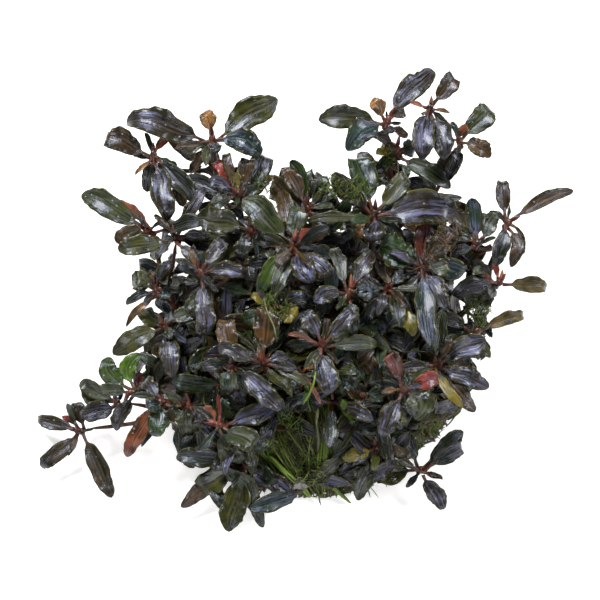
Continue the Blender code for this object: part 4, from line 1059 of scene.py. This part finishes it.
def make_floor():
    mesh = bpy.data.meshes.new("floor")
    corners = [(x, y, FLOOR_HEIGHT) for x, y in ((-1, -1), (1, -1), (1, 1), (-1, 1))]
    mesh.from_pydata([(x * FLOOR_HALF, y * FLOOR_HALF, z) for x, y, z in corners], [], [(0, 1, 2, 3)])
    floor = add_object("floor", mesh)
    looks = bpy.data.materials.new("floor_looks")
    looks.use_nodes = True
    shader = looks.node_tree.nodes["Principled BSDF"]
    shader.inputs["Base Color"].default_value = (0.65, 0.65, 0.65, 1)
    shader.inputs["Roughness"].default_value = 0.9
    shader.inputs["Emission Color"].default_value = (1.0, 1.0, 1.0, 1)
    shader.inputs["Emission Strength"].default_value = 0.6
    mesh.materials.append(looks)


def make_light(name, place, size, power, colour):
    data = bpy.data.lights.new(name, "AREA")
    data.shape = "DISK"
    data.size = size
    data.energy = power
    data.color = colour
    light = add_object(name, data)
    light.location = place
    light.rotation_euler = (Vector(LIGHT_TARGET) - Vector(place)).to_track_quat("-Z", "Y").to_euler()


def make_camera():
    data = bpy.data.cameras.new("camera")
    data.lens = 90
    data.sensor_width = 36
    data.clip_start = 0.01
    camera = add_object("camera", data)
    camera.location = Vector(VIEWPOINT * MM)
    camera.rotation_euler = Matrix((VIEW_RIGHT, VIEW_UP, TO_VIEWER)).transposed().to_euler()
    bpy.context.scene.camera = camera


leaf_looks = leaf_material()
stem_looks = plain_material("stem_looks", (0.010, 0.007, 0.003), (0.060, 0.026, 0.012), 320, 0.5, 0.5,
                            Specular_IOR_Level=0.3)
root_looks = plain_material("root_looks", (0.005, 0.005, 0.002), (0.024, 0.022, 0.008), 450, 0.7, 0.7)
green_looks = plain_material("root_green_looks", (0.02, 0.045, 0.003), (0.08, 0.15, 0.008), 300, 0.2, 0.5,
                             Coat_Weight=0.15)
moss_looks = plain_material("moss_looks", (0.008, 0.018, 0.002), (0.04, 0.065, 0.006), 700, 0.1, 0.7)

# The crowns, each in place of its solid.
crown_starts = []
for key in LEAF_PLAN:
    rng = np.random.default_rng(int(key))
    leaves = leaves_of(key)
    crown_starts.append(np.array([leaf.curve[0] for leaf in leaves]).mean(0))
    crown = Surface()
    add_crown(crown, leaves, 2 if int(key) % 3 == 0 else 1, rng)
    for leaf in leaves:
        add_leaf(crown, leaf)
    for leaf in inner_leaves(key, leaves, rng):
        add_leaf(crown, leaf, SMALL_LEAF)
    keep(crown.piece(f"crown_{key}", leaf_looks), "leaf", f"leaves_{key}")

# The stems and the mat.
for number, node in enumerate(STEM_NODES, 1):
    tone = STEM_TONES[number % len(STEM_TONES)]
    keep(smooth_copy(node, f"{node}_bark", stem_looks, 2, 0.3, 0.6, tone), "stem", node)
mat = cad_mesh("root_mat")
bmesh.ops.triangulate(mat, faces=mat.faces)
mat_tree = BVHTree.FromBMesh(mat)
mat.free()
keep(smooth_copy("root_mat", "root_core", root_looks, 3, 1.0, 0.35, MAT_TONE), "root_dark", "root_mat")

# Small leaves and low shoots.
rng = np.random.default_rng(STEM_SEED)
on_stems = Surface()
for node in STEM_NODES:
    stem_leaves(on_stems, node, rng)
small_leaves(on_stems, crown_starts, rng)
keep(on_stems.piece("stem_leaves", leaf_looks), "leaf")
rng = np.random.default_rng(LOW_SEED)
low_surfaces = [Surface() for _ in range(LOW_PIECES)]
for number in range(LOW_SHOOTS):
    low_shoot(low_surfaces[number % LOW_PIECES], number, rng)
for number, low_surface in enumerate(low_surfaces, 1):
    keep(low_surface.piece(f"low_shoots_{number}", leaf_looks), "leaf")

# Roots.
keep(root_fibres(np.random.default_rng(FIBRE_SEED)).piece("root_fibres", root_looks), "root_dark")
for node in BUNDLES:
    keep(bundle_strands(node).piece(f"{node}_strands", green_looks), "root_green", node)
keep(front_roots(np.random.default_rng(FRONT_SEED)).piece("front_roots", green_looks), "root_green")

# Moss and threads lie on what is there by now.
bpy.context.view_layer.update()
depsgraph = bpy.context.evaluated_depsgraph_get()
keep(moss_tufts(np.random.default_rng(MOSS_SEED)).piece("moss", moss_looks), "root_green")
threads = Surface()
for marks, radius, tone in THREADS:
    tube(threads, laid(marks, radius * 0.7), radius, 7, tone=tone)
keep(threads.piece("threads", green_looks), "root_green")

# The studio.
make_floor()
for name, plan in LIGHTS.items():
    make_light(name, *plan)
world = bpy.data.worlds.new("studio")
bpy.context.scene.world = world
world.use_nodes = True
background = world.node_tree.nodes["Background"]
background.inputs["Color"].default_value = (1.0, 1.0, 0.98, 1)
background.inputs["Strength"].default_value = 0.1
bpy.context.scene.view_settings.view_transform = "Standard"
bpy.context.scene.view_settings.exposure = 0.0
make_camera()
